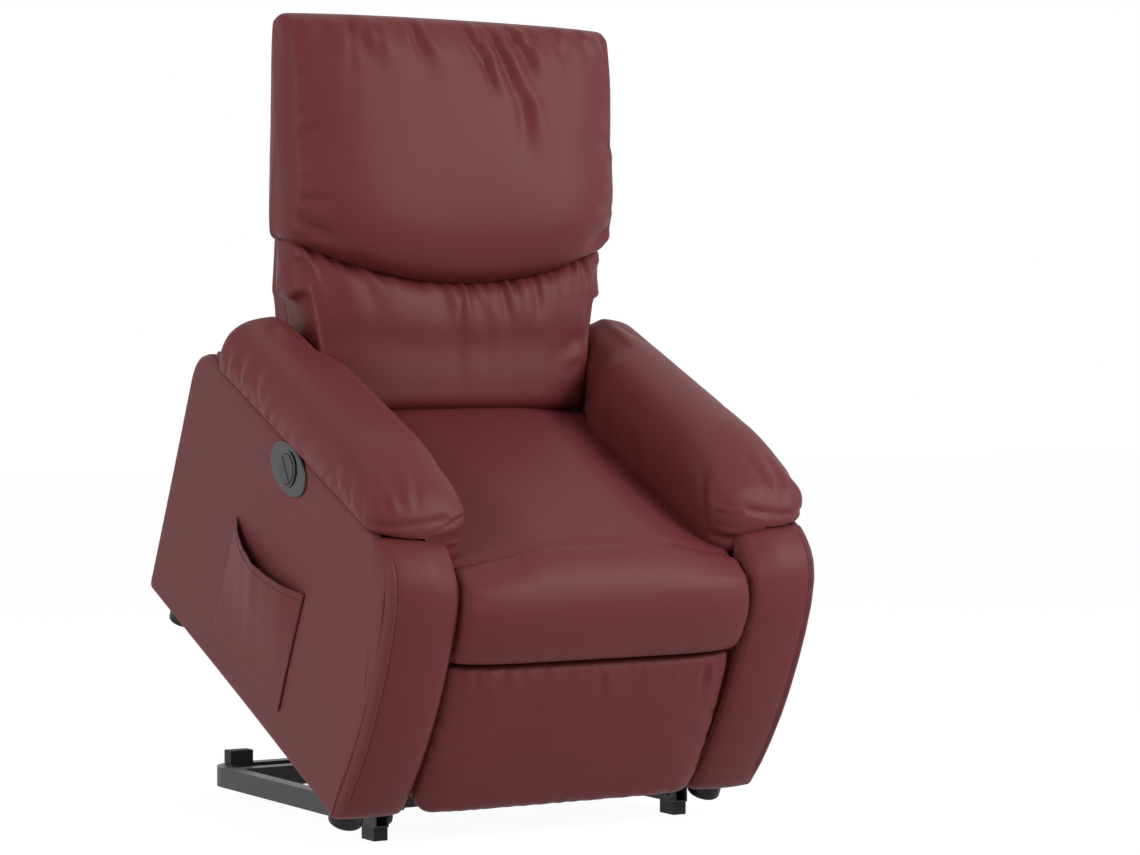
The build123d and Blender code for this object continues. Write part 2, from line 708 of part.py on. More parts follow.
# ---------------------------------------------------------------- back
def head_section(x, fullness, top):
    """Side profile of the head cushion: fullest low down, its lower edge rising outwards."""
    low = HEAD_BOTTOM + HEAD_CORNER_LIFT * (x / HEAD_HALF_WIDTH) ** 2
    belly_height = max(HEAD_BELLY_HEIGHT, low + 45)
    with BuildSketch(side_plane(BACK, x)) as section:
        with BuildLine():
            rear_low = (CUSHION_BACK, low + 12)
            rear_top = (CUSHION_BACK - 20, top - 16)
            front_top = (-HEAD_CREST * fullness, top - 22)
            belly = (-HEAD_BELLY * fullness, belly_height)
            lip = (-(HEAD_BELLY - 42) * fullness, low)
            Line(rear_low, rear_top)
            ThreePointArc(rear_top, (-HEAD_CREST * fullness * 0.6, top), front_top)
            brow = (-(HEAD_BELLY + HEAD_CREST) / 2 * fullness - 10, (top + belly_height) / 2)
            ThreePointArc(front_top, brow, belly)
            ThreePointArc(belly, (-(HEAD_BELLY - 9) * fullness, (low + belly_height) / 2 - 12), lip)
            ThreePointArc(lip, (-(HEAD_BELLY - 42) * fullness / 2, low - 4), rear_low)
        make_face()
    return section.sketch


head_sections = []
for share in station_shares(CUSHION_STATIONS + 2):
    draw_in = abs(share) ** END_SHARPNESS
    fullness = 1 - HEAD_SIDE_THINNING * draw_in
    top = HEAD_TOP - HEAD_CORNER_DROP * abs(share) ** (2 * END_SHARPNESS) - 6 * share**2
    head_sections.append(head_section(share * HEAD_HALF_WIDTH, fullness, top))
with BuildPart() as head_cushion:
    loft(head_sections)
save(head_cushion, "head_cushion")


def lumbar_section(x, low, front, drop):
    """Side profile of the lumbar cushion, its top tucked under the head cushion."""
    top = HEAD_BOTTOM + HEAD_CORNER_LIFT * (x / HEAD_HALF_WIDTH) ** 2 - 8 - drop
    with BuildSketch(side_plane(BACK, x)) as section:
        arc_outline(
            [(-front, top), (-front, low), (CUSHION_BACK, low), (CUSHION_BACK, top)],
            [6, 3, 0, 0],
        )
        fillet(section.vertices(), min(9, 0.3 * (top - low)))
    return section.sketch


lumbar_sections = []
wing_sections = []
for share in station_shares(CUSHION_STATIONS):
    draw_in = abs(share) ** END_SHARPNESS
    depth = LUMBAR_DEPTH * (1 - LUMBAR_SIDE_THINNING * draw_in - 0.05 * share**2)
    lumbar_sections.append(lumbar_section(share * LUMBAR_HALF_WIDTH, LUMBAR_BOTTOM + 8 * draw_in, depth, 0))
    wing_x = share * LUMBAR_WING_HALF_WIDTH
    wing_sections.append(lumbar_section(wing_x, LUMBAR_WING_BOTTOM, depth - LUMBAR_WING_SETBACK, 1))
with BuildPart() as lumbar_cushion:
    loft(lumbar_sections)
    loft(wing_sections)
save(lumbar_cushion, "lumbar_cushion")

with BuildPart() as back_uprights:
    for s in SIGNS:
        with BuildSketch(level_plane(BACK, UPRIGHT_BOTTOM)):
            x0, x1 = s * (UPRIGHT_OUTER - UPRIGHT_WIDTH), s * UPRIGHT_OUTER
            rectangle_between(x0, x1, UPRIGHT_FRONT, UPRIGHT_FRONT + UPRIGHT_WIDTH)
            rectangle_between(
                x0 + s * TUBE_WALL,
                x1 - s * TUBE_WALL,
                UPRIGHT_FRONT + TUBE_WALL,
                UPRIGHT_FRONT + UPRIGHT_WIDTH - TUBE_WALL,
                mode=Mode.SUBTRACT,
            )
        extrude(amount=UPRIGHT_TOP - UPRIGHT_BOTTOM)
save(back_uprights, "back_uprights")

upright_inner = UPRIGHT_OUTER - UPRIGHT_WIDTH
with BuildPart() as back_cross_rails:
    with BuildSketch(front_plane(BACK, UPRIGHT_FRONT)):
        for z in (UPRIGHT_BOTTOM, 110, UPRIGHT_TOP - UPRIGHT_WIDTH):
            rectangle_between(-upright_inner, upright_inner, z, z + UPRIGHT_WIDTH)
    extrude(amount=-UPRIGHT_WIDTH)
save(back_cross_rails, "back_cross_rails")

back_spring_y = UPRIGHT_FRONT + SPRING_WIRE_RADIUS
back_run = 2 * (upright_inner - SPRING_LEAD)
back_waves = int(back_run / SPRING_STEP / 2) * 2
back_pitch = back_run / back_waves
with BuildPart() as back_springs:
    for z in BACK_SPRING_HEIGHTS:
        points = [(-upright_inner, z), (-upright_inner + SPRING_LEAD, z)]
        for k in range(1, back_waves):
            sway = SPRING_WAVE / 2 * (1 if k % 2 else -1)
            points.append((-upright_inner + SPRING_LEAD + k * back_pitch, z + sway))
        points += [(upright_inner - SPRING_LEAD, z), (upright_inner, z)]
        with BuildLine(front_plane(BACK, back_spring_y)) as path:
            FilletPolyline(*points, radius=back_pitch * 0.3)
        with BuildSketch(Plane(origin=path.line @ 0, z_dir=path.line % 0)):
            Circle(SPRING_WIRE_RADIUS)
        sweep(path=path.line)
save(back_springs, "back_springs")

with BuildPart() as outer_back_shell:
    with BuildSketch(side_plane(BACK, -SHELL_HALF_WIDTH)):
        with BuildLine():
            Polyline(
                (UPRIGHT_FRONT, SHELL_BOTTOM),
                (SHELL_BACK_LOW, SHELL_BOTTOM),
                (SHELL_BACK_TOP, SHELL_TOP),
                (UPRIGHT_FRONT, SHELL_TOP),
                (UPRIGHT_FRONT, SHELL_BOTTOM),
            )
        make_face()
    extrude(amount=2 * SHELL_HALF_WIDTH)
    with BuildSketch(front_plane(BACK, -SHELL_BACK_LOW)):
        for s in SIGNS:
            rectangle_between(
                s * SHELL_LOW_HALF_WIDTH,
                s * (SHELL_HALF_WIDTH + SHELL_WALL),
                SHELL_BOTTOM - SHELL_WALL,
                SHELL_SHOULDER,
            )
            rectangle_between(
                s * (UPRIGHT_OUTER - UPRIGHT_WIDTH - 1),
                s * SHELL_HALF_WIDTH,
                SHELL_BOTTOM - SHELL_WALL,
                SHELL_HINGE_TOP,
            )
    extrude(amount=-3 * SHELL_BACK_LOW, mode=Mode.SUBTRACT)
    wide_edges = outer_back_shell.edges().filter_by(GeomType.LINE)
    rear_edges = [
        e for e in wide_edges
        if BACK.to_local_coords(e.center()).Y > SHELL_BACK_TOP - 1 and e.length > 100
    ]
    fillet(rear_edges, 7)
    with BuildSketch(side_plane(BACK, -UPRIGHT_OUTER - FIT)):
        with BuildLine():
            Polyline(
                (0, SHELL_BOTTOM - 1),
                (SHELL_BACK_LOW - SHELL_WALL, SHELL_BOTTOM - 1),
                (SHELL_BACK_TOP - SHELL_WALL, SHELL_TOP - SHELL_WALL / 2),
                (0, SHELL_TOP - SHELL_WALL / 2),
                (0, SHELL_BOTTOM - 1),
            )
        make_face()
    extrude(amount=2 * (UPRIGHT_OUTER + FIT), mode=Mode.SUBTRACT)
save(outer_back_shell, "outer_back_shell")

hinge_gap = PLATE_INNER - UPRIGHT_OUTER - 0.5
with BuildPart() as back_hinge_plates:
    for s in SIGNS:
        with BuildSketch(side_plane(BACK, s * UPRIGHT_OUTER)):
            link_outline((UPRIGHT_FRONT + 11, 66), (0, 0), 2 * UPRIGHT_WIDTH * 0.8, PIN_RADIUS + PIN_CLEARANCE)
        extrude(amount=s * hinge_gap)
save(back_hinge_plates, "back_hinge_plates")


# ---------------------------------------------------------------- upper frame
def pin_at(frame, s, y, z, x_inner, x_outer):
    """A headed pivot pin along X, its head inboard, inside the active part."""
    with BuildSketch(side_plane(frame, s * x_inner)) as shank:
        with Locations((y, z)):
            Circle(PIN_RADIUS)
    with BuildSketch(side_plane(frame, s * x_inner)) as head:
        with Locations((y, z)):
            Circle(PIN_HEAD_RADIUS)
    extrude(to_extrude=shank.sketch, amount=s * (x_outer - x_inner))
    extrude(to_extrude=head.sketch, amount=-s * PIN_HEAD_THICKNESS)


with BuildPart() as mechanism_plates:
    for s in SIGNS:
        with BuildSketch(side_plane(BODY, s * PLATE_INNER)) as outline:
            with BuildLine():
                Polyline(
                    (PLATE_FRONT, PLATE_BOTTOM),
                    (PLATE_REAR, PLATE_BOTTOM),
                    (PLATE_REAR, PLATE_BOTTOM + 40),
                    (RECLINE_PIVOT_Y + 22, RECLINE_PIVOT_Z),
                    (RECLINE_PIVOT_Y, RECLINE_PIVOT_Z + 18),
                    (RECLINE_PIVOT_Y - 22, RECLINE_PIVOT_Z),
                    (PLATE_FRONT, RECLINE_PIVOT_Z - 14),
                    (PLATE_FRONT, PLATE_BOTTOM),
                )
            make_face()
            fillet(outline.vertices(), 8)
            pin_spots = (
                (REAR_LINK_BODY_Y, REAR_LINK_BODY_Z),
                (FRONT_LINK_BODY_Y, FRONT_LINK_BODY_Z),
                (RECLINE_PIVOT_Y, RECLINE_PIVOT_Z),
                (FOOTREST_PIVOT_Y, FOOTREST_PIVOT_Z),
            )
            with Locations(*pin_spots):
                Circle(PIN_RADIUS + PIN_CLEARANCE, mode=Mode.SUBTRACT)
        extrude(amount=s * PLATE_THICKNESS)
save(mechanism_plates, "mechanism_plates")

with BuildPart() as upper_rails:
    for s in SIGNS:
        with BuildSketch(front_plane(BODY, UPPER_RAIL_FRONT)):
            x0 = s * (PLATE_INNER + PLATE_THICKNESS)
            x1 = x0 + s * UPPER_RAIL_WIDTH
            rectangle_between(x0, x1, UPPER_RAIL_BOTTOM, UPPER_RAIL_BOTTOM + UPPER_RAIL_HEIGHT)
            rectangle_between(
                x0 + s * TUBE_WALL,
                x1 - s * TUBE_WALL,
                UPPER_RAIL_BOTTOM + TUBE_WALL,
                UPPER_RAIL_BOTTOM + UPPER_RAIL_HEIGHT - TUBE_WALL,
                mode=Mode.SUBTRACT,
            )
        extrude(amount=-(PLATE_REAR + 6 - UPPER_RAIL_FRONT))
save(upper_rails, "upper_rails")

stop_top = BASE_BOTTOM + TUBE_HEIGHT + STOP_HEIGHT
cross_bottom = stop_top + FIT
stop_front = BASE_REAR - UPPER_CROSS_WIDTH
cross_y = stop_front - LIFT_ADVANCE
with BuildPart() as upper_rear_cross_tube:
    with BuildSketch(side_plane(BODY, -PLATE_INNER)):
        rectangle_between(cross_y, cross_y + UPPER_CROSS_WIDTH, cross_bottom, cross_bottom + UPPER_RAIL_HEIGHT)
        rectangle_between(
            cross_y + TUBE_WALL,
            cross_y + UPPER_CROSS_WIDTH - TUBE_WALL,
            cross_bottom + TUBE_WALL,
            cross_bottom + UPPER_RAIL_HEIGHT - TUBE_WALL,
            mode=Mode.SUBTRACT,
        )
    extrude(amount=2 * PLATE_INNER)
save(upper_rear_cross_tube, "upper_rear_cross_tube")

with BuildPart() as upper_front_cross_tube:
    with BuildSketch(side_plane(BODY, -CROSS_HALF_WIDTH)):
        y0 = ACTUATOR_BODY_Y - UPPER_CROSS_WIDTH / 2
        z0 = UPPER_FRONT_CROSS_BOTTOM
        rectangle_between(y0, y0 + UPPER_CROSS_WIDTH, z0, z0 + UPPER_RAIL_HEIGHT)
        rectangle_between(
            y0 + TUBE_WALL,
            y0 + UPPER_CROSS_WIDTH - TUBE_WALL,
            z0 + TUBE_WALL,
            z0 + UPPER_RAIL_HEIGHT - TUBE_WALL,
            mode=Mode.SUBTRACT,
        )
    extrude(amount=2 * CROSS_HALF_WIDTH)
    for s in SIGNS:
        with BuildSketch(side_plane(BODY, s * (CROSS_HALF_WIDTH - CROSS_BAR_WIDTH))):
            rectangle_between(y0 + UPPER_CROSS_WIDTH - 1, CROSS_LUG_REAR, z0, z0 + UPPER_RAIL_HEIGHT)
            rectangle_between(CROSS_LUG_FRONT, CROSS_LUG_REAR, z0 + 1, CROSS_LUG_TOP)
        extrude(amount=s * CROSS_BAR_WIDTH)
        with BuildSketch(side_plane(BODY, s * (CROSS_HALF_WIDTH - 1))):
            rectangle_between(CROSS_LUG_FRONT, CROSS_LUG_REAR, CROSS_LUG_BOTTOM, CROSS_LUG_TOP)
        extrude(amount=s * (PLATE_INNER - 0.2 - CROSS_HALF_WIDTH + 1))
save(upper_front_cross_tube, "upper_front_cross_tube")

ear_inner = EYE_THICKNESS / 2 + SIDE_GAP
with BuildPart() as actuator_front_clevis:
    for s in SIGNS:
        with BuildSketch(side_plane(BODY, s * ear_inner)):
            rectangle_between(
                ACTUATOR_BODY_Y - 12,
                ACTUATOR_BODY_Y + 12,
                UPPER_FRONT_CROSS_BOTTOM + UPPER_RAIL_HEIGHT,
                ACTUATOR_BODY_Z,
            )
            with Locations((ACTUATOR_BODY_Y, ACTUATOR_BODY_Z)):
                Circle(12)
        extrude(amount=s * LINK_THICKNESS)
    with BuildSketch(side_plane(BODY, -ear_inner - 1)):
        with Locations((ACTUATOR_BODY_Y, ACTUATOR_BODY_Z)):
            Circle(LOOSE_PIN_RADIUS)
    extrude(amount=2 * ear_inner + 2)
save(actuator_front_clevis, "actuator_front_clevis")

with BuildPart() as upper_pivot_pins:
    for s in SIGNS:
        plate_outer = PLATE_INNER + PLATE_THICKNESS
        link_inner = LIFT_LINK_OUTER - LINK_THICKNESS - 0.3
        pin_at(BODY, s, REAR_LINK_BODY_Y, REAR_LINK_BODY_Z, link_inner, plate_outer)
        pin_at(BODY, s, FRONT_LINK_BODY_Y, FRONT_LINK_BODY_Z, link_inner, plate_outer)
save(upper_pivot_pins, "upper_pivot_pins")

with BuildPart() as recline_pins:
    for s in SIGNS:
        with BuildSketch(side_plane(BODY, s * (UPRIGHT_OUTER + 0.5))):
            with Locations((RECLINE_PIVOT_Y, RECLINE_PIVOT_Z)):
                Circle(PIN_RADIUS)
        extrude(amount=s * (PLATE_INNER + PLATE_THICKNESS - UPRIGHT_OUTER - 0.5))
        with BuildSketch(side_plane(BODY, s * (PLATE_INNER + PLATE_THICKNESS))):
            with Locations((RECLINE_PIVOT_Y, RECLINE_PIVOT_Z)):
                Circle(PIN_HEAD_RADIUS)
        extrude(amount=s * PIN_HEAD_THICKNESS)
save(recline_pins, "recline_pins")

with BuildPart() as rear_cover_panel:
    with BuildSketch(front_plane(BODY, PANEL_REAR - FIT)):
        cover_half = INNER_HALF_WIDTH - FIT
        rectangle_between(-cover_half, cover_half, UPPER_RAIL_BOTTOM, REAR_COVER_TOP)
    extrude(amount=REAR_COVER_THICKNESS)
save(rear_cover_panel, "rear_cover_panel")

with BuildPart() as power_unit:
    with BuildSketch(level_plane(BODY, cross_bottom + UPPER_RAIL_HEIGHT)) as case:
        rectangle_between(
            -CONTROL_BOX_LENGTH / 2,
            CONTROL_BOX_LENGTH / 2,
            cross_y + UPPER_CROSS_WIDTH - CONTROL_BOX_DEPTH,
            cross_y + UPPER_CROSS_WIDTH,
        )
        fillet(case.vertices(), 5)
    extrude(amount=CONTROL_BOX_HEIGHT)
save(power_unit, "power_unit")

with BuildPart() as power_inlet:
    with BuildSketch(front_plane(BODY, cross_y + UPPER_CROSS_WIDTH)):
        with Locations((CONTROL_BOX_LENGTH / 4, cross_bottom + UPPER_RAIL_HEIGHT + CONTROL_BOX_HEIGHT / 2)):
            Circle(INLET_RADIUS)
            Circle(INLET_RADIUS * 0.55, mode=Mode.SUBTRACT)
    extrude(amount=-9)
save(power_inlet, "power_inlet")


# ---------------------------------------------------------------- base frame
rail_inner = RAIL_OUTER - TUBE_WIDTH
rail_centre = RAIL_OUTER - TUBE_WIDTH / 2
base_middle_z = BASE_BOTTOM + TUBE_HEIGHT / 2


def tube_section(width, height):
    """Hollow rectangular tube section, inside the active sketch."""
    Rectangle(width, height)
    Rectangle(width - 2 * TUBE_WALL, height - 2 * TUBE_WALL, mode=Mode.SUBTRACT)


with BuildPart() as base_rear_bend:
    bend_rear = BASE_REAR - TUBE_WIDTH / 2
    with BuildLine(level_plane(GROUND, base_middle_z)) as bend_path:
        FilletPolyline(
            (rail_centre, BASE_SEAM),
            (rail_centre, bend_rear),
            (-rail_centre, bend_rear),
            (-rail_centre, BASE_SEAM),
            radius=BASE_BEND_RADIUS,
        )
    with BuildSketch(Plane(origin=bend_path.line @ 0, x_dir=(1, 0, 0), z_dir=bend_path.line % 0)):
        tube_section(TUBE_WIDTH, TUBE_HEIGHT)
    sweep(path=bend_path.line)
save(base_rear_bend, "base_rear_bend")

with BuildPart() as base_rails:
    for s in SIGNS:
        with BuildSketch(front_plane(GROUND, BASE_FRONT)):
            with Locations((s * rail_centre, base_middle_z)):
                tube_section(TUBE_WIDTH, TUBE_HEIGHT)
        extrude(amount=-(BASE_SEAM - BASE_FRONT))
save(base_rails, "base_rails")

with BuildPart() as base_cross_tubes:
    with BuildSketch(side_plane(GROUND, -rail_inner)):
        for y in (BASE_SEAM + 2, BASE_CROSS_Y):
            with Locations((y + TUBE_WIDTH / 2, base_middle_z)):
                tube_section(TUBE_WIDTH, TUBE_HEIGHT)
    extrude(amount=2 * rail_inner)
save(base_cross_tubes, "base_cross_tubes")

with BuildPart() as base_feet:
    with BuildSketch(level_plane(GROUND, 0)):
        for s in SIGNS:
            front_foot_y = BASE_FRONT + 4
            rectangle_between(s * rail_inner, s * RAIL_OUTER, front_foot_y, front_foot_y + BASE_FOOT_SIZE_Y)
            rear_x0 = s * (REAR_PAD_X - BASE_FOOT_SIZE_Y / 2)
            rear_x1 = s * (REAR_PAD_X + BASE_FOOT_SIZE_Y / 2)
            rectangle_between(rear_x0, rear_x1, BASE_REAR - TUBE_WIDTH, BASE_REAR)
    extrude(amount=BASE_BOTTOM)
save(base_feet, "base_feet")

with BuildPart() as stop_blocks:
    with BuildSketch(level_plane(GROUND, BASE_BOTTOM + TUBE_HEIGHT)):
        for s in SIGNS:
            x0 = s * (STOP_CENTRE_X - STOP_LENGTH / 2)
            x1 = s * (STOP_CENTRE_X + STOP_LENGTH / 2)
            rectangle_between(x0, x1, stop_front, BASE_REAR)
    extrude(amount=STOP_HEIGHT)
save(stop_blocks, "stop_blocks")

rear_base_pin = base_pin(REAR_LINK_BODY_Y, REAR_LINK_BODY_Z, REAR_LINK_BASE_Z)
front_base_pin = base_pin(FRONT_LINK_BODY_Y, FRONT_LINK_BODY_Z, FRONT_LINK_BASE_Z)
rear_body_pin = ground_point(REAR_LINK_BODY_Y, REAR_LINK_BODY_Z)
front_body_pin = ground_point(FRONT_LINK_BODY_Y, FRONT_LINK_BODY_Z)
pin_hole = PIN_RADIUS + PIN_CLEARANCE

with BuildPart() as base_brackets:
    for s in SIGNS:
        for y, z in (rear_base_pin, front_base_pin):
            with BuildSketch(side_plane(GROUND, s * (rail_inner - LINK_THICKNESS))):
                link_outline((y, z), (y + 0.01, BRACKET_HEEL_Z), LINK_WIDTH, pin_hole)
            extrude(amount=s * LINK_THICKNESS)
save(base_brackets, "base_brackets")

with BuildPart() as base_pivot_pins:
    for s in SIGNS:
        for y, z in (rear_base_pin, front_base_pin):
            pin_at(GROUND, s, y, z, LIFT_LINK_OUTER - LINK_THICKNESS - 0.3, rail_inner)
save(base_pivot_pins, "base_pivot_pins")

link_pairs = (
    ("rear_lift_links", rear_base_pin, rear_body_pin, pin_hole),
    ("front_lift_links", front_base_pin, front_body_pin, LOOSE_LINK_HOLE),
)
for name, low_pin, high_pin, high_hole in link_pairs:
    with BuildPart() as lift_links:
        for s in SIGNS:
            with BuildSketch(side_plane(GROUND, s * (LIFT_LINK_OUTER - LINK_THICKNESS))):
                link_outline(low_pin, high_pin, LINK_WIDTH, pin_hole)
                with Locations(high_pin):
                    Circle(high_hole, mode=Mode.SUBTRACT)
            extrude(amount=s * LINK_THICKNESS)
    save(lift_links, name)


# ---------------------------------------------------------------- lift actuator
actuator_start = (ACTUATOR_BASE_Y, ACTUATOR_BASE_Z)
actuator_end = ground_point(ACTUATOR_BODY_Y, ACTUATOR_BODY_Z)
actuator_length = math.dist(actuator_start, actuator_end)
actuator_rise = angle_of(actuator_start, actuator_end)
# ROD has its origin on the base pin and y pointing back along the actuator.
ROD = Plane(
    origin=GROUND.from_local_coords((0, ACTUATOR_BASE_Y, ACTUATOR_BASE_Z)),
    x_dir=(1, 0, 0),
    z_dir=GROUND.z_dir * -math.cos(math.radians(actuator_rise))
    + GROUND.y_dir * math.sin(math.radians(actuator_rise)),
)
gearbox_front = -GEARBOX_SETBACK


with BuildPart() as actuator_clevis:
    for s in SIGNS:
        with BuildSketch(side_plane(GROUND, s * (EYE_THICKNESS / 2 + SIDE_GAP))):
            with BuildLine():
                Polyline(
                    (BASE_SEAM + 2, BASE_BOTTOM + 4),
                    (BASE_SEAM + 2, BASE_BOTTOM + TUBE_HEIGHT - 2),
                    (ACTUATOR_BASE_Y + 10, ACTUATOR_BASE_Z + 6),
                    (ACTUATOR_BASE_Y - 10, ACTUATOR_BASE_Z + 6),
                    (ACTUATOR_BASE_Y - 12, ACTUATOR_BASE_Z - 6),
                    (BASE_SEAM + 2, BASE_BOTTOM + 4),
                )
            make_face()
            with Locations(actuator_start):
                Circle(LINK_WIDTH / 2)
                Circle(PIN_RADIUS, mode=Mode.SUBTRACT)
        extrude(amount=s * LINK_THICKNESS)
    with BuildSketch(side_plane(GROUND, -ear_inner - LINK_THICKNESS)):
        with Locations(actuator_start):
            Circle(PIN_RADIUS)
    extrude(amount=2 * (ear_inner + LINK_THICKNESS))
save(actuator_clevis, "actuator_clevis")

with BuildPart() as actuator_housing:
    with BuildSketch(side_plane(ROD, -EYE_THICKNESS / 2)):
        with Locations((0, 0)):
            Circle(LINK_WIDTH / 2 - 1)
        rectangle_between(gearbox_front - 1, 0, -9, 9)
        Circle(pin_hole, mode=Mode.SUBTRACT)
    extrude(amount=EYE_THICKNESS)
    with BuildSketch(front_plane(ROD, gearbox_front)) as box:
        rectangle_between(-MOTOR_RADIUS, MOTOR_RADIUS, -GEARBOX_HEIGHT / 2, GEARBOX_HEIGHT / 2)
        fillet(box.vertices(), 8)
    extrude(amount=GEARBOX_LENGTH)
    with BuildSketch(front_plane(ROD, gearbox_front - GEARBOX_LENGTH)):
        Circle(ACTUATOR_TUBE_RADIUS)
    extrude(amount=ACTUATOR_TUBE_LENGTH)
    with BuildSketch(front_plane(ROD, gearbox_front - GEARBOX_LENGTH)):
        Circle(ACTUATOR_ROD_RADIUS + PIN_CLEARANCE)
    extrude(amount=ACTUATOR_TUBE_LENGTH + 1, mode=Mode.SUBTRACT)
save(actuator_housing, "actuator_housing")

with BuildPart() as actuator_motor:
    with BuildSketch(side_plane(ROD, MOTOR_RADIUS)):
        with Locations((gearbox_front - GEARBOX_LENGTH / 2, 0)):
            Circle(MOTOR_RADIUS)
    extrude(amount=MOTOR_LENGTH)
    fillet(actuator_motor.faces().sort_by(Axis.X)[-1].edges(), 5)
save(actuator_motor, "actuator_motor")

rod_back = gearbox_front - GEARBOX_LENGTH - ACTUATOR_STROKE - ROD_END_GAP
with BuildPart() as actuator_rod:
    with BuildSketch(front_plane(ROD, rod_back)):
        Circle(ACTUATOR_ROD_RADIUS)
    extrude(amount=actuator_length - ROD_TANG_LENGTH + rod_back)
    with BuildSketch(side_plane(ROD, -EYE_THICKNESS / 2)):
        rectangle_between(
            -actuator_length + LOOSE_EYE_RADIUS + 2,
            -actuator_length + ROD_TANG_LENGTH + 2,
            -ACTUATOR_ROD_RADIUS + 1,
            ACTUATOR_ROD_RADIUS - 1,
        )
        with Locations((-actuator_length, 0)):
            Circle(LOOSE_EYE_RADIUS + 6)
            Circle(LOOSE_EYE_RADIUS, mode=Mode.SUBTRACT)
    extrude(amount=EYE_THICKNESS)
save(actuator_rod, "actuator_rod")


# ---------------------------------------------------------------- footrest
foot_pivot = (FOOTREST_PIVOT_Y, FOOTREST_PIVOT_Z)
foot_hinge = (FOOTREST_HINGE_Y, FOOTREST_HINGE_Z)
hinge_run = math.dist(foot_pivot, foot_hinge)
knee_offset = math.sqrt(FOOTREST_LINK**2 - (hinge_run / 2) ** 2)
toward_y = (foot_hinge[0] - foot_pivot[0]) / hinge_run
toward_z = (foot_hinge[1] - foot_pivot[1]) / hinge_run
foot_knee = (
    (foot_pivot[0] + foot_hinge[0]) / 2 - toward_z * knee_offset,
    (foot_pivot[1] + foot_hinge[1]) / 2 + toward_y * knee_offset,
)
upper_outer = FOOTREST_LINK_OUTER
lower_outer = upper_outer - LINK_THICKNESS - SIDE_GAP

with BuildPart() as footrest_upper_links:
    for s in SIGNS:
        with BuildSketch(side_plane(BODY, s * (upper_outer - LINK_THICKNESS))):
            link_outline(foot_pivot, foot_knee, FOOTREST_LINK_WIDTH, pin_hole)
        extrude(amount=s * LINK_THICKNESS)
save(footrest_upper_links, "footrest_upper_links")

with BuildPart() as footrest_torque_tube:
    with BuildSketch(side_plane(BODY, -(upper_outer - LINK_THICKNESS))):
        with Locations(foot_pivot):
            Circle(TORQUE_TUBE_RADIUS)
            Circle(TORQUE_TUBE_RADIUS - TUBE_WALL, mode=Mode.SUBTRACT)
    extrude(amount=2 * (upper_outer - LINK_THICKNESS))
save(footrest_torque_tube, "footrest_torque_tube")

with BuildPart() as footrest_pivot_pins:
    for s in SIGNS:
        with BuildSketch(side_plane(BODY, s * (upper_outer - LINK_THICKNESS - 0.3))):
            with Locations(foot_pivot):
                Circle(PIN_RADIUS)
        extrude(amount=s * (PLATE_INNER + PLATE_THICKNESS - upper_outer + LINK_THICKNESS + 0.3))
save(footrest_pivot_pins, "footrest_pivot_pins")

with BuildPart() as footrest_lower_links:
    for s in SIGNS:
        with BuildSketch(side_plane(BODY, s * (lower_outer - LINK_THICKNESS))):
            link_outline(foot_knee, foot_hinge, FOOTREST_LINK_WIDTH, pin_hole)
        extrude(amount=s * LINK_THICKNESS)
save(footrest_lower_links, "footrest_lower_links")

with BuildPart() as knee_pins:
    for s in SIGNS:
        pin_at(BODY, s, *foot_knee, lower_outer - LINK_THICKNESS - 0.3, upper_outer)
save(knee_pins, "knee_pins")

with BuildPart() as footrest_board:
    with BuildSketch(front_plane(BODY, BOARD_BACK_Y)) as face:
        rectangle_between(-BOARD_HALF_WIDTH, BOARD_HALF_WIDTH, BOARD_BOTTOM, BOARD_TOP)
        fillet(face.vertices(), 12)
    extrude(amount=BOARD_THICKNESS)
save(footrest_board, "footrest_board")

with BuildPart() as footrest_brackets:
    for s in SIGNS:
        with BuildSketch(side_plane(BODY, s * (upper_outer - LINK_THICKNESS))):
            with BuildLine():
                Polyline(
                    (BOARD_BACK_Y, FOOTREST_HINGE_Z - 30),
                    (FOOTREST_HINGE_Y + 4, FOOTREST_HINGE_Z - 12),
                    (FOOTREST_HINGE_Y + 4, FOOTREST_HINGE_Z + 12),
                    (BOARD_BACK_Y, FOOTREST_HINGE_Z + 30),
                    (BOARD_BACK_Y, FOOTREST_HINGE_Z - 30),
                )
            make_face()
            with Locations(foot_hinge):
                Circle(FOOTREST_LINK_WIDTH / 2)
                Circle(pin_hole, mode=Mode.SUBTRACT)
        extrude(amount=s * LINK_THICKNESS)
save(footrest_brackets, "footrest_brackets")

with BuildPart() as footrest_hinge_pins:
    for s in SIGNS:
        pin_at(BODY, s, *foot_hinge, lower_outer - LINK_THICKNESS - 0.3, upper_outer)
save(footrest_hinge_pins, "footrest_hinge_pins")


def footrest_pad_section(x, shrink, crown):
    """Side profile of the footrest pad: flat back, bowed face, rounded ends."""
    back = BOARD_BACK_Y - BOARD_THICKNESS - FIT
    face = PAD_FACE_Y + shrink * 0.7
    with BuildSketch(side_plane(BODY, x)) as section:
        arc_outline(
            [
                (face, PAD_TOP - shrink * 0.4),
                (face, PAD_BOTTOM + shrink),
                (back, PAD_BOTTOM + shrink),
                (back, PAD_TOP - shrink * 0.4),
            ],
            [crown, 1, 0, 1],
        )
        front_corners = section.vertices().group_by(Axis.X)[0]
        fillet(front_corners, 12)
    return section.sketch


footrest_sections = []
for share in station_shares(CUSHION_STATIONS):
    draw_in = abs(share) ** (2 * END_SHARPNESS)
    crown = PAD_CROWN * (1 - 0.6 * draw_in)
    footrest_sections.append(footrest_pad_section(share * PAD_HALF_WIDTH, PAD_CORNER_DROP * draw_in, crown))
with BuildPart() as footrest_pad:
    loft(footrest_sections)
save(footrest_pad, "footrest_pad")
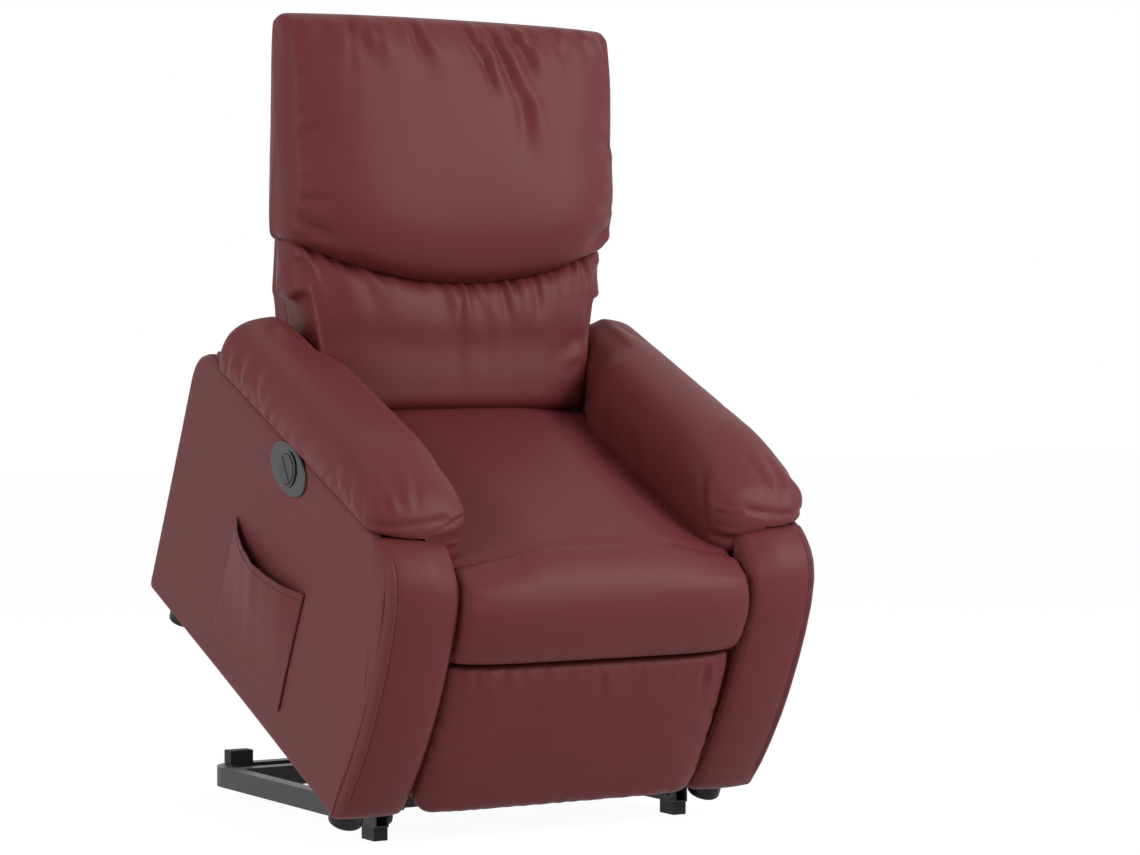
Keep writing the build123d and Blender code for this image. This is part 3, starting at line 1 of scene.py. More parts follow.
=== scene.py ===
"""Dresses the powered lift recliner chair: upholstery, seams, stitching, finishes, stage.

Lengths in the shape functions are millimetres in the chair's own tipped frame (BODY) or in
the frame of its back (BACK): x to the sitter's left, y to the rear, z up along the piece.
Places of the camera, the lamps and the floor are metres in the part's frame.
"""
import json
import math

import bpy
import numpy as np
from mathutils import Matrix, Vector


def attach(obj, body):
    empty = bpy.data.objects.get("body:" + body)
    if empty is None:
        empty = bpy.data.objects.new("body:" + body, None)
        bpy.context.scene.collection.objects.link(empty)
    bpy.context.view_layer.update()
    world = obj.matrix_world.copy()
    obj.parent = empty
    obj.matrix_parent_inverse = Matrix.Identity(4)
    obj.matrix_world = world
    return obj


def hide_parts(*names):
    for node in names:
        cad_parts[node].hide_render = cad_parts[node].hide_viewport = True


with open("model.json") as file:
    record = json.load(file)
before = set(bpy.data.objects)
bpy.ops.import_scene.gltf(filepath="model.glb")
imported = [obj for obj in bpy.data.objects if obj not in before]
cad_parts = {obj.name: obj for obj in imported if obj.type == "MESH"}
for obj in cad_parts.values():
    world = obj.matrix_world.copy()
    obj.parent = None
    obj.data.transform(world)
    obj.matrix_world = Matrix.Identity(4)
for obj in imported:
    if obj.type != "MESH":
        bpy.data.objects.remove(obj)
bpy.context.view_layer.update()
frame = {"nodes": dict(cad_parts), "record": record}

# ---------------------------------------------------------------- frames
MM = 0.001
TILT = math.radians(25.2)  # the chair, tipped forward on its lift
LEAN = math.radians(23.5)  # the back, behind the chair's own upright
HINGE_Y, HINGE_Z = 215.0, 330.0  # the back's hinge in the chair's own frame
SIDES = (("left", 1), ("right", -1))
joint_of = {joint["name"]: joint for joint in frame["record"]["behaviour"]["joints"]}
hinge_y, hinge_z = joint_of["back_recline"]["pos_m"][1:]


class Space:
    """A frame turned about X: takes its own millimetres to metres in the part's frame."""

    def __init__(self, origin, turn):
        self.origin = origin
        self.cos = math.cos(turn)
        self.sin = math.sin(turn)

    def metres(self, points):
        """The points in metres: scaled, turned about X, then moved to this frame's origin."""
        p = np.asarray(points, float) * MM
        x, y, z = p[..., 0], p[..., 1], p[..., 2]
        return np.stack(
            [
                self.origin[0] + x,
                self.origin[1] + y * self.cos - z * self.sin,
                self.origin[2] + y * self.sin + z * self.cos,
            ],
            axis=-1,
        )


body_y = hinge_y - MM * (HINGE_Y * math.cos(TILT) - HINGE_Z * math.sin(TILT))
body_z = hinge_z - MM * (HINGE_Y * math.sin(TILT) + HINGE_Z * math.cos(TILT))
BODY = Space((0.0, body_y, body_z), TILT)
BACK = Space((0.0, hinge_y, hinge_z), TILT - LEAN)


def add_object(name, data):
    """An object with this data, put in the scene."""
    made = bpy.data.objects.new(name, data)
    bpy.context.scene.collection.objects.link(made)
    return made


def point_at(made, direction):
    """Turns a camera or a lamp so that it looks along a direction."""
    made.rotation_euler = direction.to_track_quat("-Z", "Y").to_euler()


# ---------------------------------------------------------------- camera
CAMERA_AT = Vector((-2.6245, -4.4630, 0.7464))
CAMERA_YAW = math.radians(-30.6)
CAMERA_PITCH = math.radians(1.3)
SENSOR_WIDTH = 36.0
FOCAL_LENGTH = 100.47
SIDEWAYS_SHIFT = 0.0772
FAR_LIMIT = 100.0
sight = Vector(
    (
        -math.sin(CAMERA_YAW) * math.cos(CAMERA_PITCH),
        math.cos(CAMERA_YAW) * math.cos(CAMERA_PITCH),
        -math.sin(CAMERA_PITCH),
    )
)
camera_data = bpy.data.cameras.new("camera")
camera_data.sensor_width = SENSOR_WIDTH
camera_data.lens = FOCAL_LENGTH
camera_data.shift_x = SIDEWAYS_SHIFT
camera_data.clip_end = FAR_LIMIT
camera = add_object("camera", camera_data)
camera.location = CAMERA_AT
point_at(camera, sight)
bpy.context.scene.camera = camera
bpy.context.scene.view_settings.view_transform = "Standard"
bpy.context.scene.view_settings.look = "None"


# ---------------------------------------------------------------- shader values
class Sock:
    """A shader value, a link or plain numbers, with + and * that add Math nodes."""

    def __init__(self, tree, value):
        self.tree = tree
        self.value = value

    def feed(self, socket):
        """Links this value into an input, or writes its numbers there, a colour's alpha as 1."""
        if isinstance(self.value, bpy.types.NodeSocket):
            self.tree.links.new(self.value, socket)
        elif hasattr(socket.default_value, "__len__"):
            numbers = self.value if hasattr(self.value, "__len__") else (self.value,) * 3
            socket.default_value = (tuple(numbers) + (1.0,))[: len(socket.default_value)]
        else:
            socket.default_value = self.value

    def wrap(self, other):
        """Another value as one of this tree."""
        return other if isinstance(other, Sock) else Sock(self.tree, other)

    def maths(self, operation, *others, clamp=False):
        """One Math node on this value and the others."""
        node = self.tree.nodes.new("ShaderNodeMath")
        node.operation = operation
        node.use_clamp = clamp
        for socket, value in zip(node.inputs, (self,) + others):
            self.wrap(value).feed(socket)
        return Sock(self.tree, node.outputs[0])

    def __add__(self, other):
        return self.maths("ADD", other)

    def __mul__(self, other):
        return self.maths("MULTIPLY", other)

    __radd__ = __add__
    __rmul__ = __mul__

    def clamp(self):
        """This value kept between 0 and 1."""
        return self.maths("ADD", 0.0, clamp=True)

    def mix(self, low, high):
        """low where this is 0, high where it is 1, as colours."""
        node = self.tree.nodes.new("ShaderNodeMix")
        node.data_type = "RGBA"
        factor, first, second = node.inputs[0], node.inputs[6], node.inputs[7]  # the colour pair
        self.feed(factor)
        self.wrap(low).feed(first)
        self.wrap(high).feed(second)
        return Sock(self.tree, node.outputs[2])


class Shader:
    """One Principled material that reads object coordinates, in metres."""

    def __init__(self, name):
        self.material = bpy.data.materials.new(name)
        self.material.use_nodes = True
        self.tree = self.material.node_tree
        self.bsdf = self.tree.nodes["Principled BSDF"]
        coordinates = self.tree.nodes.new("ShaderNodeTexCoord")
        self.place = Sock(self.tree, coordinates.outputs["Object"])

    def fill(self, node, inputs):
        """Feeds a node's inputs, whose names have _ for a space."""
        for key, value in inputs.items():
            self.place.wrap(value).feed(node.inputs[key.replace("_", " ")])

    def node(self, kind, output, settings=None, **inputs):
        """An output of a new node, which gets its settings first and then its inputs."""
        made = self.tree.nodes.new(kind)
        for key, value in (settings or {}).items():
            setattr(made, key, value)
        self.fill(made, inputs)
        return Sock(self.tree, made.outputs[output])

    def noise(self, scale, detail, roughness, place=None):
        """Cloudy noise from 0 to 1 with this many cells in a metre."""
        return self.node(
            "ShaderNodeTexNoise",
            "Fac",
            Vector=place or self.place,
            Scale=scale,
            Detail=detail,
            Roughness=roughness,
        )

    def put(self, **inputs):
        """Feeds the Principled shader."""
        self.fill(self.bsdf, inputs)

    def bump(self, height, strength, distance):
        """Tilts the surface by the slope of a height."""
        self.put(
            Normal=self.node("ShaderNodeBump", "Normal", Height=height, Strength=strength, Distance=distance)
        )


# ---------------------------------------------------------------- finishes
LEATHER_SHINE = 0.17
PLAIN_SHINE = 0.16
PEBBLES_PER_METRE = 620.0
PEBBLE_HEIGHT = 0.0006
SPECKLE_HEIGHT = 0.0003
GRAIN_HEIGHT = 0.0005


def leather(name, dark, light, rough, grain):
    """Smooth faux leather.

    Colour: from dark to light by four parts of slow cloud and one of fine noise. Roughness: rough
    less 0.06, plus a little of both. Height: rounded pebbles with the fine noise over them.
    """
    made = Shader(name)
    cloud = made.noise(5.0, 3.0, 0.55)
    fine = made.noise(260.0, 2.0, 0.5)
    pebble = made.node(
        "ShaderNodeTexVoronoi",
        "Distance",
        {"feature": "SMOOTH_F1"},
        Vector=made.place,
        Scale=PEBBLES_PER_METRE,
    )
    made.put(Base_Color=(cloud * 0.8 + fine * 0.2).clamp().mix(dark, light))
    made.put(Roughness=cloud * 0.08 + fine * 0.05 + (rough - 0.06))
    made.put(Specular_IOR_Level=LEATHER_SHINE)
    made.bump(pebble * 0.7 + fine * 0.5, grain, PEBBLE_HEIGHT)
    return made.material


def plain(name, colour, rough, metallic=0.0, speckle=0.0, coat=0.0):
    """Painted, moulded or plated: one colour.

    Mottling lightens it by up to a sixth and adds up to 0.12 to a roughness of rough less 0.06. A
    speckle above 0 gives it a fine raised grain.
    """
    made = Shader(name)
    mottle = made.noise(38.0, 4.0, 0.6)
    lighter = tuple(min(1.0, c * 1.16 + 0.004) for c in colour)
    made.put(Base_Color=mottle.mix(colour, lighter), Roughness=mottle * 0.12 + (rough - 0.06))
    made.put(Metallic=metallic, Coat_Weight=coat, Specular_IOR_Level=PLAIN_SHINE)
    if speckle:
        made.bump(made.noise(900.0, 2.0, 0.5), speckle, SPECKLE_HEIGHT)
    return made.material


def timber(name, dark, light):
    """Plywood: noise drawn out along the grain, in the colour, the roughness and the height."""
    made = Shader(name)
    stretched = made.node("ShaderNodeMapping", "Vector", Vector=made.place, Scale=(6.0, 6.0, 60.0))
    grain = made.noise(3.0, 5.0, 0.6, stretched)
    made.put(Base_Color=grain.mix(dark, light), Roughness=grain * 0.15 + 0.55)
    made.bump(grain, 0.15, GRAIN_HEIGHT)
    return made.material


WINE = leather("wine_leather", (0.121, 0.022, 0.0245), (0.145, 0.029, 0.0315), rough=0.50, grain=0.10)
# A paler, greyer copy of the leather for the flat panels: a painted sheen, the grey veil of reflected light,
# put into its colour.
WINE_PAINTED_SHEEN = leather("wine_leather_painted_sheen", (0.128, 0.030, 0.033), (0.142, 0.036, 0.039), rough=0.54, grain=0.08)
SEAM_DARK = plain("seam_thread", (0.060, 0.012, 0.014), rough=0.55)
STEEL_DARK = plain("satin_dark_steel", (0.048, 0.049, 0.052), rough=0.40, metallic=0.30, speckle=0.06)
BRIGHT = plain("zinc_steel", (0.55, 0.56, 0.58), rough=0.28, metallic=1.0)
PLASTIC = plain("black_plastic", (0.014, 0.014, 0.015), rough=0.40, speckle=0.05)
GLOSS = plain("gloss_black", (0.012, 0.012, 0.013), rough=0.12, coat=0.4)
RUBBER = plain("black_rubber", (0.030, 0.030, 0.031), rough=0.62, speckle=0.08)
PLYWOOD = timber("plywood", (0.36, 0.22, 0.11), (0.52, 0.35, 0.20))
BUTTON = plain("satin_black", (0.030, 0.030, 0.032), rough=0.34, coat=0.15)

finish_of_slot = {
    "upholstery": WINE,
    "frame_steel": STEEL_DARK,
    "bright_steel": BRIGHT,
    "board": PLYWOOD,
    "black_plastic": PLASTIC,
    "gloss_black": GLOSS,
    "black_rubber": RUBBER,
}
finish_of_node = {"raise_button": BUTTON, "recline_button": BUTTON}
# The flat panels take the leather copy with the painted sheen in its colour.
for sheen_panel_node in ("arm_inner_panels", "arm_rear_panels", "arm_top_boards", "rear_cover_panel"):
    finish_of_node[sheen_panel_node] = WINE_PAINTED_SHEEN
slot_of = {part["node"]: part["material_slot"] for part in frame["record"]["subparts"]}
for node_name, node_object in frame["nodes"].items():
    finish = finish_of_node.get(node_name, finish_of_slot[slot_of[node_name]])
    if node_object.material_slots:
        for material_slot in node_object.material_slots:
            material_slot.material = finish
    else:
        node_object.data.materials.append(finish)


# ---------------------------------------------------------------- surfaces
def curve_piece(before, start, stop, after, t):
    """Points from start to stop on the Catmull-Rom cubic: its slope at each is half the step across it."""
    return 0.5 * (
        2 * start
        + (stop - before) * t
        + (2 * before - 5 * start + 4 * stop - after) * t**2
        + (3 * start - before - 3 * stop + after) * t**3
    )


def evenly(line, count, closed):
    """count points at equal distances along a line of close ones; a closed line ends where it began."""
    along = np.concatenate([[0], np.cumsum(np.linalg.norm(np.diff(line, axis=0), axis=1))])
    at = np.linspace(0, along[-1], count, endpoint=not closed)
    return np.stack([np.interp(at, along, column) for column in line.T], axis=1)


def closed_loop(points, count):
    """count points evenly spaced along a closed Catmull-Rom curve through the given ones."""
    p = np.asarray(points, float)
    t = np.linspace(0, 1, 24, endpoint=False)[:, None]
    pieces = [curve_piece(p[i - 1], p[i], p[(i + 1) % len(p)], p[(i + 2) % len(p)], t) for i in range(len(p))]
    return evenly(np.vstack(pieces + [p[:1]]), count, closed=True)


def open_line(points, count):
    """count points evenly spaced along an open Catmull-Rom curve through the given ones."""
    p = np.asarray(points, float)
    padded = np.vstack([2 * p[0] - p[1], p, 2 * p[-1] - p[-2]])
    t = np.linspace(0, 1, 16, endpoint=False)[:, None]
    pieces = [curve_piece(*padded[i - 1 : i + 3], t) for i in range(1, len(padded) - 2)]
    return evenly(np.vstack(pieces + [p[-1:]]), count, closed=False)


def rounded_outline(corners, reaches, count):
    """count points evenly spaced round a closed polygon.

    Each corner is replaced by a parabola that starts and stops its own reach away along both edges.
    """
    p = np.asarray(corners, float)
    t = np.linspace(0, 1, 12)[:, None]
    pieces = []
    for i, reach in enumerate(reaches):
        before, corner, after = p[i - 1], p[i], p[(i + 1) % len(p)]
        start = corner + (before - corner) / np.linalg.norm(before - corner) * reach
        stop = corner + (after - corner) / np.linalg.norm(after - corner) * reach
        pieces.append((1 - t) ** 2 * start + 2 * t * (1 - t) * corner + t**2 * stop)
    return evenly(np.vstack(pieces + [pieces[0][:1]]), count, closed=True)


def inset(loop, amount):
    """A closed (y, z) loop moved inwards by amount, square to the line between each point's neighbours."""
    tangent = np.roll(loop, -1, 0) - np.roll(loop, 1, 0)
    tangent /= np.maximum(np.linalg.norm(tangent, axis=1), 1e-9)[:, None]
    inward = np.stack([-tangent[:, 1], tangent[:, 0]], axis=1)
    area = 0.5 * np.sum(loop[:, 0] * np.roll(loop[:, 1], -1) - np.roll(loop[:, 0], -1) * loop[:, 1])
    return loop + inward * amount * (1 if area > 0 else -1)


CAP_CORE = 0.03  # the last ring of an end face, as a share of its rim


def sweep(profile, low, high, edge_low, edge_high, step, bulge, rings):
    """Sections of a piece across x from low to high with rounded edges and bulged end faces.

    profile(x) gives the closed (y, z) loop at x. Within edge_low or edge_high of an end the loop is
    set in along a quarter circle. Past that the end face closes in rings, which stand out by bulge
    times one less the square of their share of the rim.
    """
    turns = np.linspace(0, math.pi / 2, 6)[1:]
    between = np.linspace(low + edge_low, high - edge_high, max(3, int((high - low) / step)))
    stations = [(low + edge_low * (1 - math.sin(a)), edge_low * (1 - math.cos(a))) for a in turns[::-1]]
    stations += [(x, 0.0) for x in between]
    stations += [(high - edge_high * (1 - math.sin(a)), edge_high * (1 - math.cos(a))) for a in turns]
    body = []
    for x, amount in stations:
        loop = inset(profile(x), amount) if amount else profile(x)
        body.append(np.column_stack([np.full(len(loop), x), loop]))
    caps = []
    for rim, outwards in ((body[0], -1), (body[-1], 1)):
        middle = rim.mean(axis=0)
        cap = []
        for share in np.linspace(1, CAP_CORE, rings + 1)[1:]:
            ring = middle + (rim - middle) * share
            ring[:, 0] = rim[:, 0] + outwards * bulge * (1 - share**2)
            cap.append(ring)
        caps.append(cap)
    return np.array(caps[0][::-1] + body + caps[1])


def skin(sections):
    """Vertices and faces of stacked closed sections, both ends closed to a point."""
    count, around = sections.shape[:2]
    verts = np.vstack([sections.reshape(-1, 3), sections[0].mean(0), sections[-1].mean(0)])
    i, j = np.meshgrid(np.arange(count - 1), np.arange(around), indexing="ij")
    n = (j + 1) % around
    quads = np.stack([i * around + j, i * around + n, (i + 1) * around + n, (i + 1) * around + j], -1)
    faces = quads.reshape(-1, 4).tolist()
    first_point, last_point = count * around, count * around + 1
    last_ring = (count - 1) * around
    faces += [[first_point, (k + 1) % around, k] for k in range(around)]
    faces += [[last_point, last_ring + k, last_ring + (k + 1) % around] for k in range(around)]
    return verts, faces


def as_quads(faces):
    """The faces as an array of four corners, a triangle's last one twice."""
    return np.array([face if len(face) == 4 else face + [face[-1]] for face in faces])


def vertex_normals(verts, faces):
    """Each point's normal: the sum over its faces of the cross product of their diagonals, made one long."""
    quads = as_quads(faces)
    a, b, c, d = (verts[quads[:, k]] for k in range(4))
    across = np.cross(c - a, d - b)
    normals = np.zeros_like(verts)
    for k in range(4):
        np.add.at(normals, quads[:, k], across)
    return normals / np.maximum(np.linalg.norm(normals, axis=1), 1e-12)[:, None]


def smooth(verts, faces, rounds):
    """Moves each point halfway to the mean of its neighbours, rounds times."""
    quads = as_quads(faces)
    pairs = np.vstack([quads[:, [0, 1]], quads[:, [1, 2]], quads[:, [2, 3]], quads[:, [3, 0]]])
    pairs = pairs[pairs[:, 0] != pairs[:, 1]]
    both = np.vstack([pairs, pairs[:, ::-1]])
    degree = np.bincount(both[:, 0], minlength=len(verts))[:, None]
    moved = verts.copy()
    for _ in range(rounds):
        total = np.zeros_like(moved)
        np.add.at(total, both[:, 0], moved[both[:, 1]])
        moved = 0.5 * moved + 0.5 * total / degree
    return moved


def outward(verts, faces):
    """The faces, all turned round where the volume that they enclose comes out negative."""
    quads = as_quads(faces)
    a, b, c, d = (verts[quads[:, k]] for k in range(4))
    centre = verts.mean(axis=0)
    volume = np.sum(np.cross(b - a, c - a) * (a - centre)) + np.sum(np.cross(c - a, d - a) * (a - centre))
    return faces if volume > 0 else [face[::-1] for face in faces]


def mesh_object(name, verts, faces, space, material, body):
    """A smooth-shaded piece from local millimetres, which rides on a body."""
    mesh = bpy.data.meshes.new(name)
    mesh.from_pydata(space.metres(verts).tolist(), [], outward(verts, faces))
    mesh.polygons.foreach_set("use_smooth", [True] * len(mesh.polygons))
    mesh.materials.append(material)
    mesh.update()
    made = add_object(name, mesh)
    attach(made, body)
    return made


def tube(name, points, radius, space, body, material=SEAM_DARK):
    """A thin round cord along a line of local points, its ends closed."""
    curve = bpy.data.curves.new(name, "CURVE")
    curve.dimensions = "3D"
    curve.bevel_depth = radius * MM
    curve.bevel_resolution = 2
    curve.use_fill_caps = True
    placed = space.metres(points)
    spline = curve.splines.new("POLY")
    spline.points.add(len(placed) - 1)
    for point, place in zip(spline.points, placed):
        point.co = (*place, 1.0)
    curve.materials.append(material)
    made = add_object(name, curve)
    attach(made, body)
    return made


# ---------------------------------------------------------------- folds
def bell(d, width):
    """1 where d is 0, falling off as the exponential of less the square of d over width."""
    return np.exp(-((d / width) ** 2))


def ease(x, low, high):
    """0 below low, 1 above high, smooth between."""
    t = np.clip((x - low) / (high - low), 0, 1)
    return t * t * (3 - 2 * t)


def crease(a, b, start, end, width, depth, wander=0.0):
    """Height of one pulled fold that runs from start to end on the (a, b) plane.

    A bell-shaped groove with a lower ridge beside it. Both widen along the fold, start within its
    first fifth and fade out over its last two thirds. wander sways the line like a sine.
    """
    step_a, step_b = end[0] - start[0], end[1] - start[1]
    length = math.hypot(step_a, step_b)
    step_a, step_b = step_a / length, step_b / length
    t = (a - start[0]) * step_a + (b - start[1]) * step_b
    d = (a - start[0]) * -step_b + (b - start[1]) * step_a
    d = d + wander * np.sin(t / length * 5.1 + start[0])
    fade = ease(t, -0.05 * length, 0.22 * length) * (1 - ease(t, 0.35 * length, 1.02 * length))
    spread = width * (0.7 + 0.9 * np.clip(t / length, 0, 1))
    return depth * fade * (-bell(d, spread) + 0.75 * bell(d - 1.9 * spread, 1.2 * spread))


def gathers(along, away, low, high, count, reach, depth, width, seed, slant=0.0):
    """Height of many short folds that leave a seam, between low and high on it.

    along and away are distances on the cloth, along the seam and away from it. Each fold is a bell
    groove with a ridge beside it, has its own place, reach, width, depth and lean, fades out
    exponentially with the distance from the seam and widens as it does.
    """
    rng = np.random.default_rng(seed)
    total = np.zeros_like(along)
    at = np.linspace(low, high, count) + rng.uniform(-0.45, 0.45, count) * (high - low) / count
    for centre in at:
        own_reach = reach * rng.uniform(0.45, 1.5)
        own_width = width * rng.uniform(0.6, 1.5)
        own_depth = depth * rng.uniform(0.4, 1.3)
        lean = slant + rng.uniform(-0.22, 0.22)
        d = along - centre - lean * away
        spread = own_width * (1 + 0.8 * np.clip(away / own_reach, 0, 2))
        fall = np.exp(-np.clip(away, 0, None) / own_reach) * ease(away, -6, 2)
        total += own_depth * fall * (-bell(d, spread) + 0.6 * bell(d - 2.0 * spread, 1.3 * spread))
    return total


def soft_piece(name, sections, folds, space, body, nodes, rounds=2, material=WINE):
    """A cushion in place of its solids: its sections smoothed, then moved along their normals by folds."""
    verts, faces = skin(sections)
    faces = outward(verts, faces)
    verts = smooth(verts, faces, rounds)
    if folds is not None:
        normals = vertex_normals(verts, faces)
        verts = verts + normals * folds(verts, normals)[:, None]
        verts = smooth(verts, faces, 1)
    made = mesh_object(name, verts, faces, space, material, body)
    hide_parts(*nodes)


# ---------------------------------------------------------------- head cushion
HEAD_HALF = 305.0
HEAD_TOP = 752.0
HEAD_BELLY = 146.0  # depth at the belly
HEAD_CREST = 84.0  # depth at the top
# Each pulled fold is (start, end, width, depth), its ends as two distances on the cushion's face.
HEAD_CREASES = (
    ((-215, 742), (-150, 655), 11, 5.0),
    ((-108, 742), (-48, 650), 10, 5.0),
    ((-8, 742), (66, 640), 9, 6.5),
    ((46, 745), (108, 570), 9, 7.4),
    ((84, 742), (140, 640), 9, 5.8),
    ((30, 690), (58, 610), 7, 5.0),
    ((98, 640), (104, 500), 14, 5.0),
    ((168, 740), (208, 680), 10, 4.0),
    ((228, 744), (250, 668), 10, 4.6),
)
HEAD_SIDE_CREASES = (
    ((298, 418), (215, 372), 9, 7.0),
    ((300, 452), (238, 440), 7, 3.5),
    ((300, 560), (235, 540), 12, 3.0),
)


def head_low(x):
    """Height of the lower edge at x: it rises with the square of x, by 74 mm at the sides."""
    return 318.0 + 74.0 * (x / HEAD_HALF) ** 2


def head_profile(x):
    """Section at x: a flat rear, a narrow crest and a belly fullest a quarter of the way up.

    The belly and the crest thin out with the fifth power of x towards the sides.
    """
    share = abs(x) / HEAD_HALF
    thin = 1 - 0.40 * share**5
    low = head_low(x)
    top = HEAD_TOP - 4 * share**2
    height = top - low
    belly = HEAD_BELLY * thin
    crest = HEAD_CREST * thin + 6
    points = [
        (2, low + 14),
        (2, low + 0.5 * height),
        (0, top - 30),
        (-14, top - 5),
        (-crest * 0.72, top - 2),
        (-crest - 6, top - 26),
        (-crest - 0.38 * (belly - crest) - 8, top - 0.27 * height),
        (-belly + 9, top - 0.52 * height),
        (-belly, low + 0.25 * height),
        (-belly + 6, low + 0.12 * height),
        (-belly * 0.84, low + 0.03 * height),
        (-belly * 0.55, low - 2),
        (-22, low + 2),
    ]
    return closed_loop(points, 190)


def head_folds(points, normals):
    """Gathers in from the top edge and both sides, pulled folds, a slow wave, the side seams' grooves."""
    x, y, z = points.T
    front = ease(-normals[:, 1], 0.05, 0.5)
    away = HEAD_TOP - 20 - z
    raised = front * gathers(
        x, away, low=-275, high=280, count=19, reach=34, depth=3.8, width=6.5, seed=3, slant=-0.05
    )
    for fold in HEAD_CREASES:
        raised += crease(x, z, *fold, 3.0) * front
    side = HEAD_HALF - 14 - np.abs(x)
    raised += ease(-normals[:, 1], 0.1, 0.6) * gathers(
        z, side, low=400, high=720, count=15, reach=26, depth=3.4, width=6.5, seed=11
    )
    raised += ease(np.abs(normals[:, 0]), 0.5, 0.9) * gathers(
        z, 40 - side, low=390, high=720, count=13, reach=20, depth=1.6, width=6.0, seed=17
    )
    for mirror in (-1, 1):
        for fold in HEAD_SIDE_CREASES:
            raised += crease(x * mirror, z, *fold, 2.0) * front
    raised += 2.0 * np.sin(x / 61 + 1.0) * np.sin(z / 74) * front
    seam = -2.6 * bell(np.abs(x) - HEAD_HALF + 1.0, 3.2)
    raised += seam * ease(-normals[:, 1], 0.15, 0.5) * ease(np.abs(normals[:, 0]), 0.2, 0.5)
    return raised


soft_piece(
    "head_cushion_cover",
    sweep(head_profile, -HEAD_HALF, HEAD_HALF, edge_low=10, edge_high=10, step=4.2, bulge=5.0, rings=9),
    head_folds,
    BACK,
    "back",
    ["head_cushion"],
)


# ---------------------------------------------------------------- lumbar cushion
LUMBAR_HALF = 292.0
LUMBAR_DEPTH = 118.0
LUMBAR_FOOT = 106.0
LUMBAR_STEP = 182.0  # how much higher the foot is beside the arms
LUMBAR_CREASES = (
    ((-52, 318), (-34, 214), 18, 2.0),
    ((76, 312), (84, 200), 20, 2.0),
    ((150, 330), (162, 240), 16, 2.4),
    ((236, 236), (150, 178), 15, 3.0),
    ((236, 200), (180, 158), 12, 2.6),
)


def lumbar_profile(x):
    """Section at x: a flatter pillow that ends behind the head cushion's edge.

    Its foot steps up beside the arms, and its thickness falls with the fourth power of x.
    """
    share = abs(x) / LUMBAR_HALF
    high = head_low(x) + 10
    low = LUMBAR_FOOT + LUMBAR_STEP * ease(share, 0.84, 0.93)
    depth = LUMBAR_DEPTH * (1 - 0.42 * share**4)
    height = high - low
    points = [
        (2, low + 12),
        (2, high - 0.3 * height),
        (0, high - 8),
        (-0.5 * depth, high),
        (-depth + 14, high - 0.08 * height),
        (-depth, high - 0.3 * height),
        (-depth + 3, high - 0.52 * height),
        (-depth - 1, high - 0.78 * height),
        (-depth + 4, low + 12),
        (-0.5 * depth - 10, low),
        (-18, low + 3),
    ]
    return closed_loop(points, 120)


def lumbar_folds(points, normals):
    """Two sets of gathers below the head cushion, slack ones in from both sides and pulled folds."""
    x, y, z = points.T
    front = ease(-normals[:, 1], 0.1, 0.6)
    away = head_low(x) + 2 - z
    raised = front * gathers(
        x, away, low=-40, high=268, count=16, reach=48, depth=6.0, width=6.5, seed=23, slant=0.06
    )
    raised += front * gathers(
        x, away, low=-255, high=-40, count=10, reach=36, depth=4.4, width=8.0, seed=29, slant=0.1
    )
    side = LUMBAR_HALF - 6 - np.abs(x)
    raised += front * gathers(z, side, low=285, high=385, count=8, reach=26, depth=2.2, width=6.0, seed=31)
    raised += front * gathers(
        z, side - 14, low=150, high=285, count=7, reach=60, depth=2.6, width=9.0, seed=37
    )
    for fold in LUMBAR_CREASES:
        raised += crease(x, z, *fold, 4.0) * front
    return raised


soft_piece(
    "lumbar_cushion_cover",
    sweep(
        lumbar_profile, -LUMBAR_HALF, LUMBAR_HALF, edge_low=12, edge_high=12, step=4.5, bulge=4.0, rings=7
    ),
    lumbar_folds,
    BACK,
    "back",
    ["lumbar_cushion"],
    rounds=5,
)


# ---------------------------------------------------------------- seat
SEAT_HALF = 260.0
SEAM_Y = -303.0
SEAT_SINK = 27.0  # how far the top drops beside the arms
SEAT_CREASES = (
    ((-250, 60), (-150, 20), 12, 2.0),
    ((250, 20), (150, -20), 12, 2.0),
    ((200, 160), (120, 60), 16, 2.2),
    ((-200, 160), (-110, 70), 16, 2.2),
)


def seat_profile(x):
    """Section at x: the seat from its rear to the seam, then the front roll, then the flat underside.

    The top sinks towards the arms on an S-shaped slope, and the ends of the roll drop and step back
    with the sixth power of x.
    """
    share = abs(x) / SEAT_HALF
    drop = 6 * share**6 + 3 * share**2
    sink = SEAT_SINK * float(ease(abs(x), 90.0, 245.0))
    setback = 11 * share**6
    points = [
        (176, 338),
        (180, 400),
        (180, 466 - drop - 0.3 * sink),
        (160, 477 - drop - 0.4 * sink),
        (-60, 486 - drop - sink),
        (-240, 483 - drop - sink),
        (SEAM_Y, 476 - drop - 0.8 * sink),
        (-335 + setback, 467 - drop - 0.5 * sink),
        (-368 + setback, 441 - drop),
        (-388 + setback, 408 - drop / 2),
        (-394 + setback, 372),
        (-390 + setback, 334),
        (-377 + setback, 314),
        (-358, 317),
        (-330, 331),
        (0, 333),
    ]
    return closed_loop(points, 300)


def seat_folds(points, normals):
    """The seam's groove between two low ridges, gathers from it, a slow wave, and folds at the arms."""
    x, y, z = points.T
    top = ease(normals[:, 2], 0.2, 0.7)
    fore = ease(-normals[:, 1] + 0.3 * normals[:, 2], 0.0, 0.5)
    raised = -3.0 * bell(y - SEAM_Y, 6.5) * top
    raised += 1.4 * bell(y - SEAM_Y + 14, 9) * top + 1.2 * bell(y - SEAM_Y - 14, 9) * top
    raised += top * gathers(
        x, SEAM_Y - y, low=-250, high=250, count=26, reach=16, depth=1.1, width=5.0, seed=41
    )
    raised += 1.5 * np.sin(x / 97 + 0.6) * np.sin(y / 83) * top
    for fold in SEAT_CREASES:
        raised += crease(x, y, *fold, 3.0) * top
    side = SEAT_HALF - 8 - np.abs(x)
    raised += fore * gathers(z, side, low=330, high=450, count=7, reach=22, depth=1.6, width=6.0, seed=43)
    raised += fore * gathers(
        x, z - 322, low=-250, high=250, count=24, reach=16, depth=1.0, width=6.0, seed=47
    )
    return raised


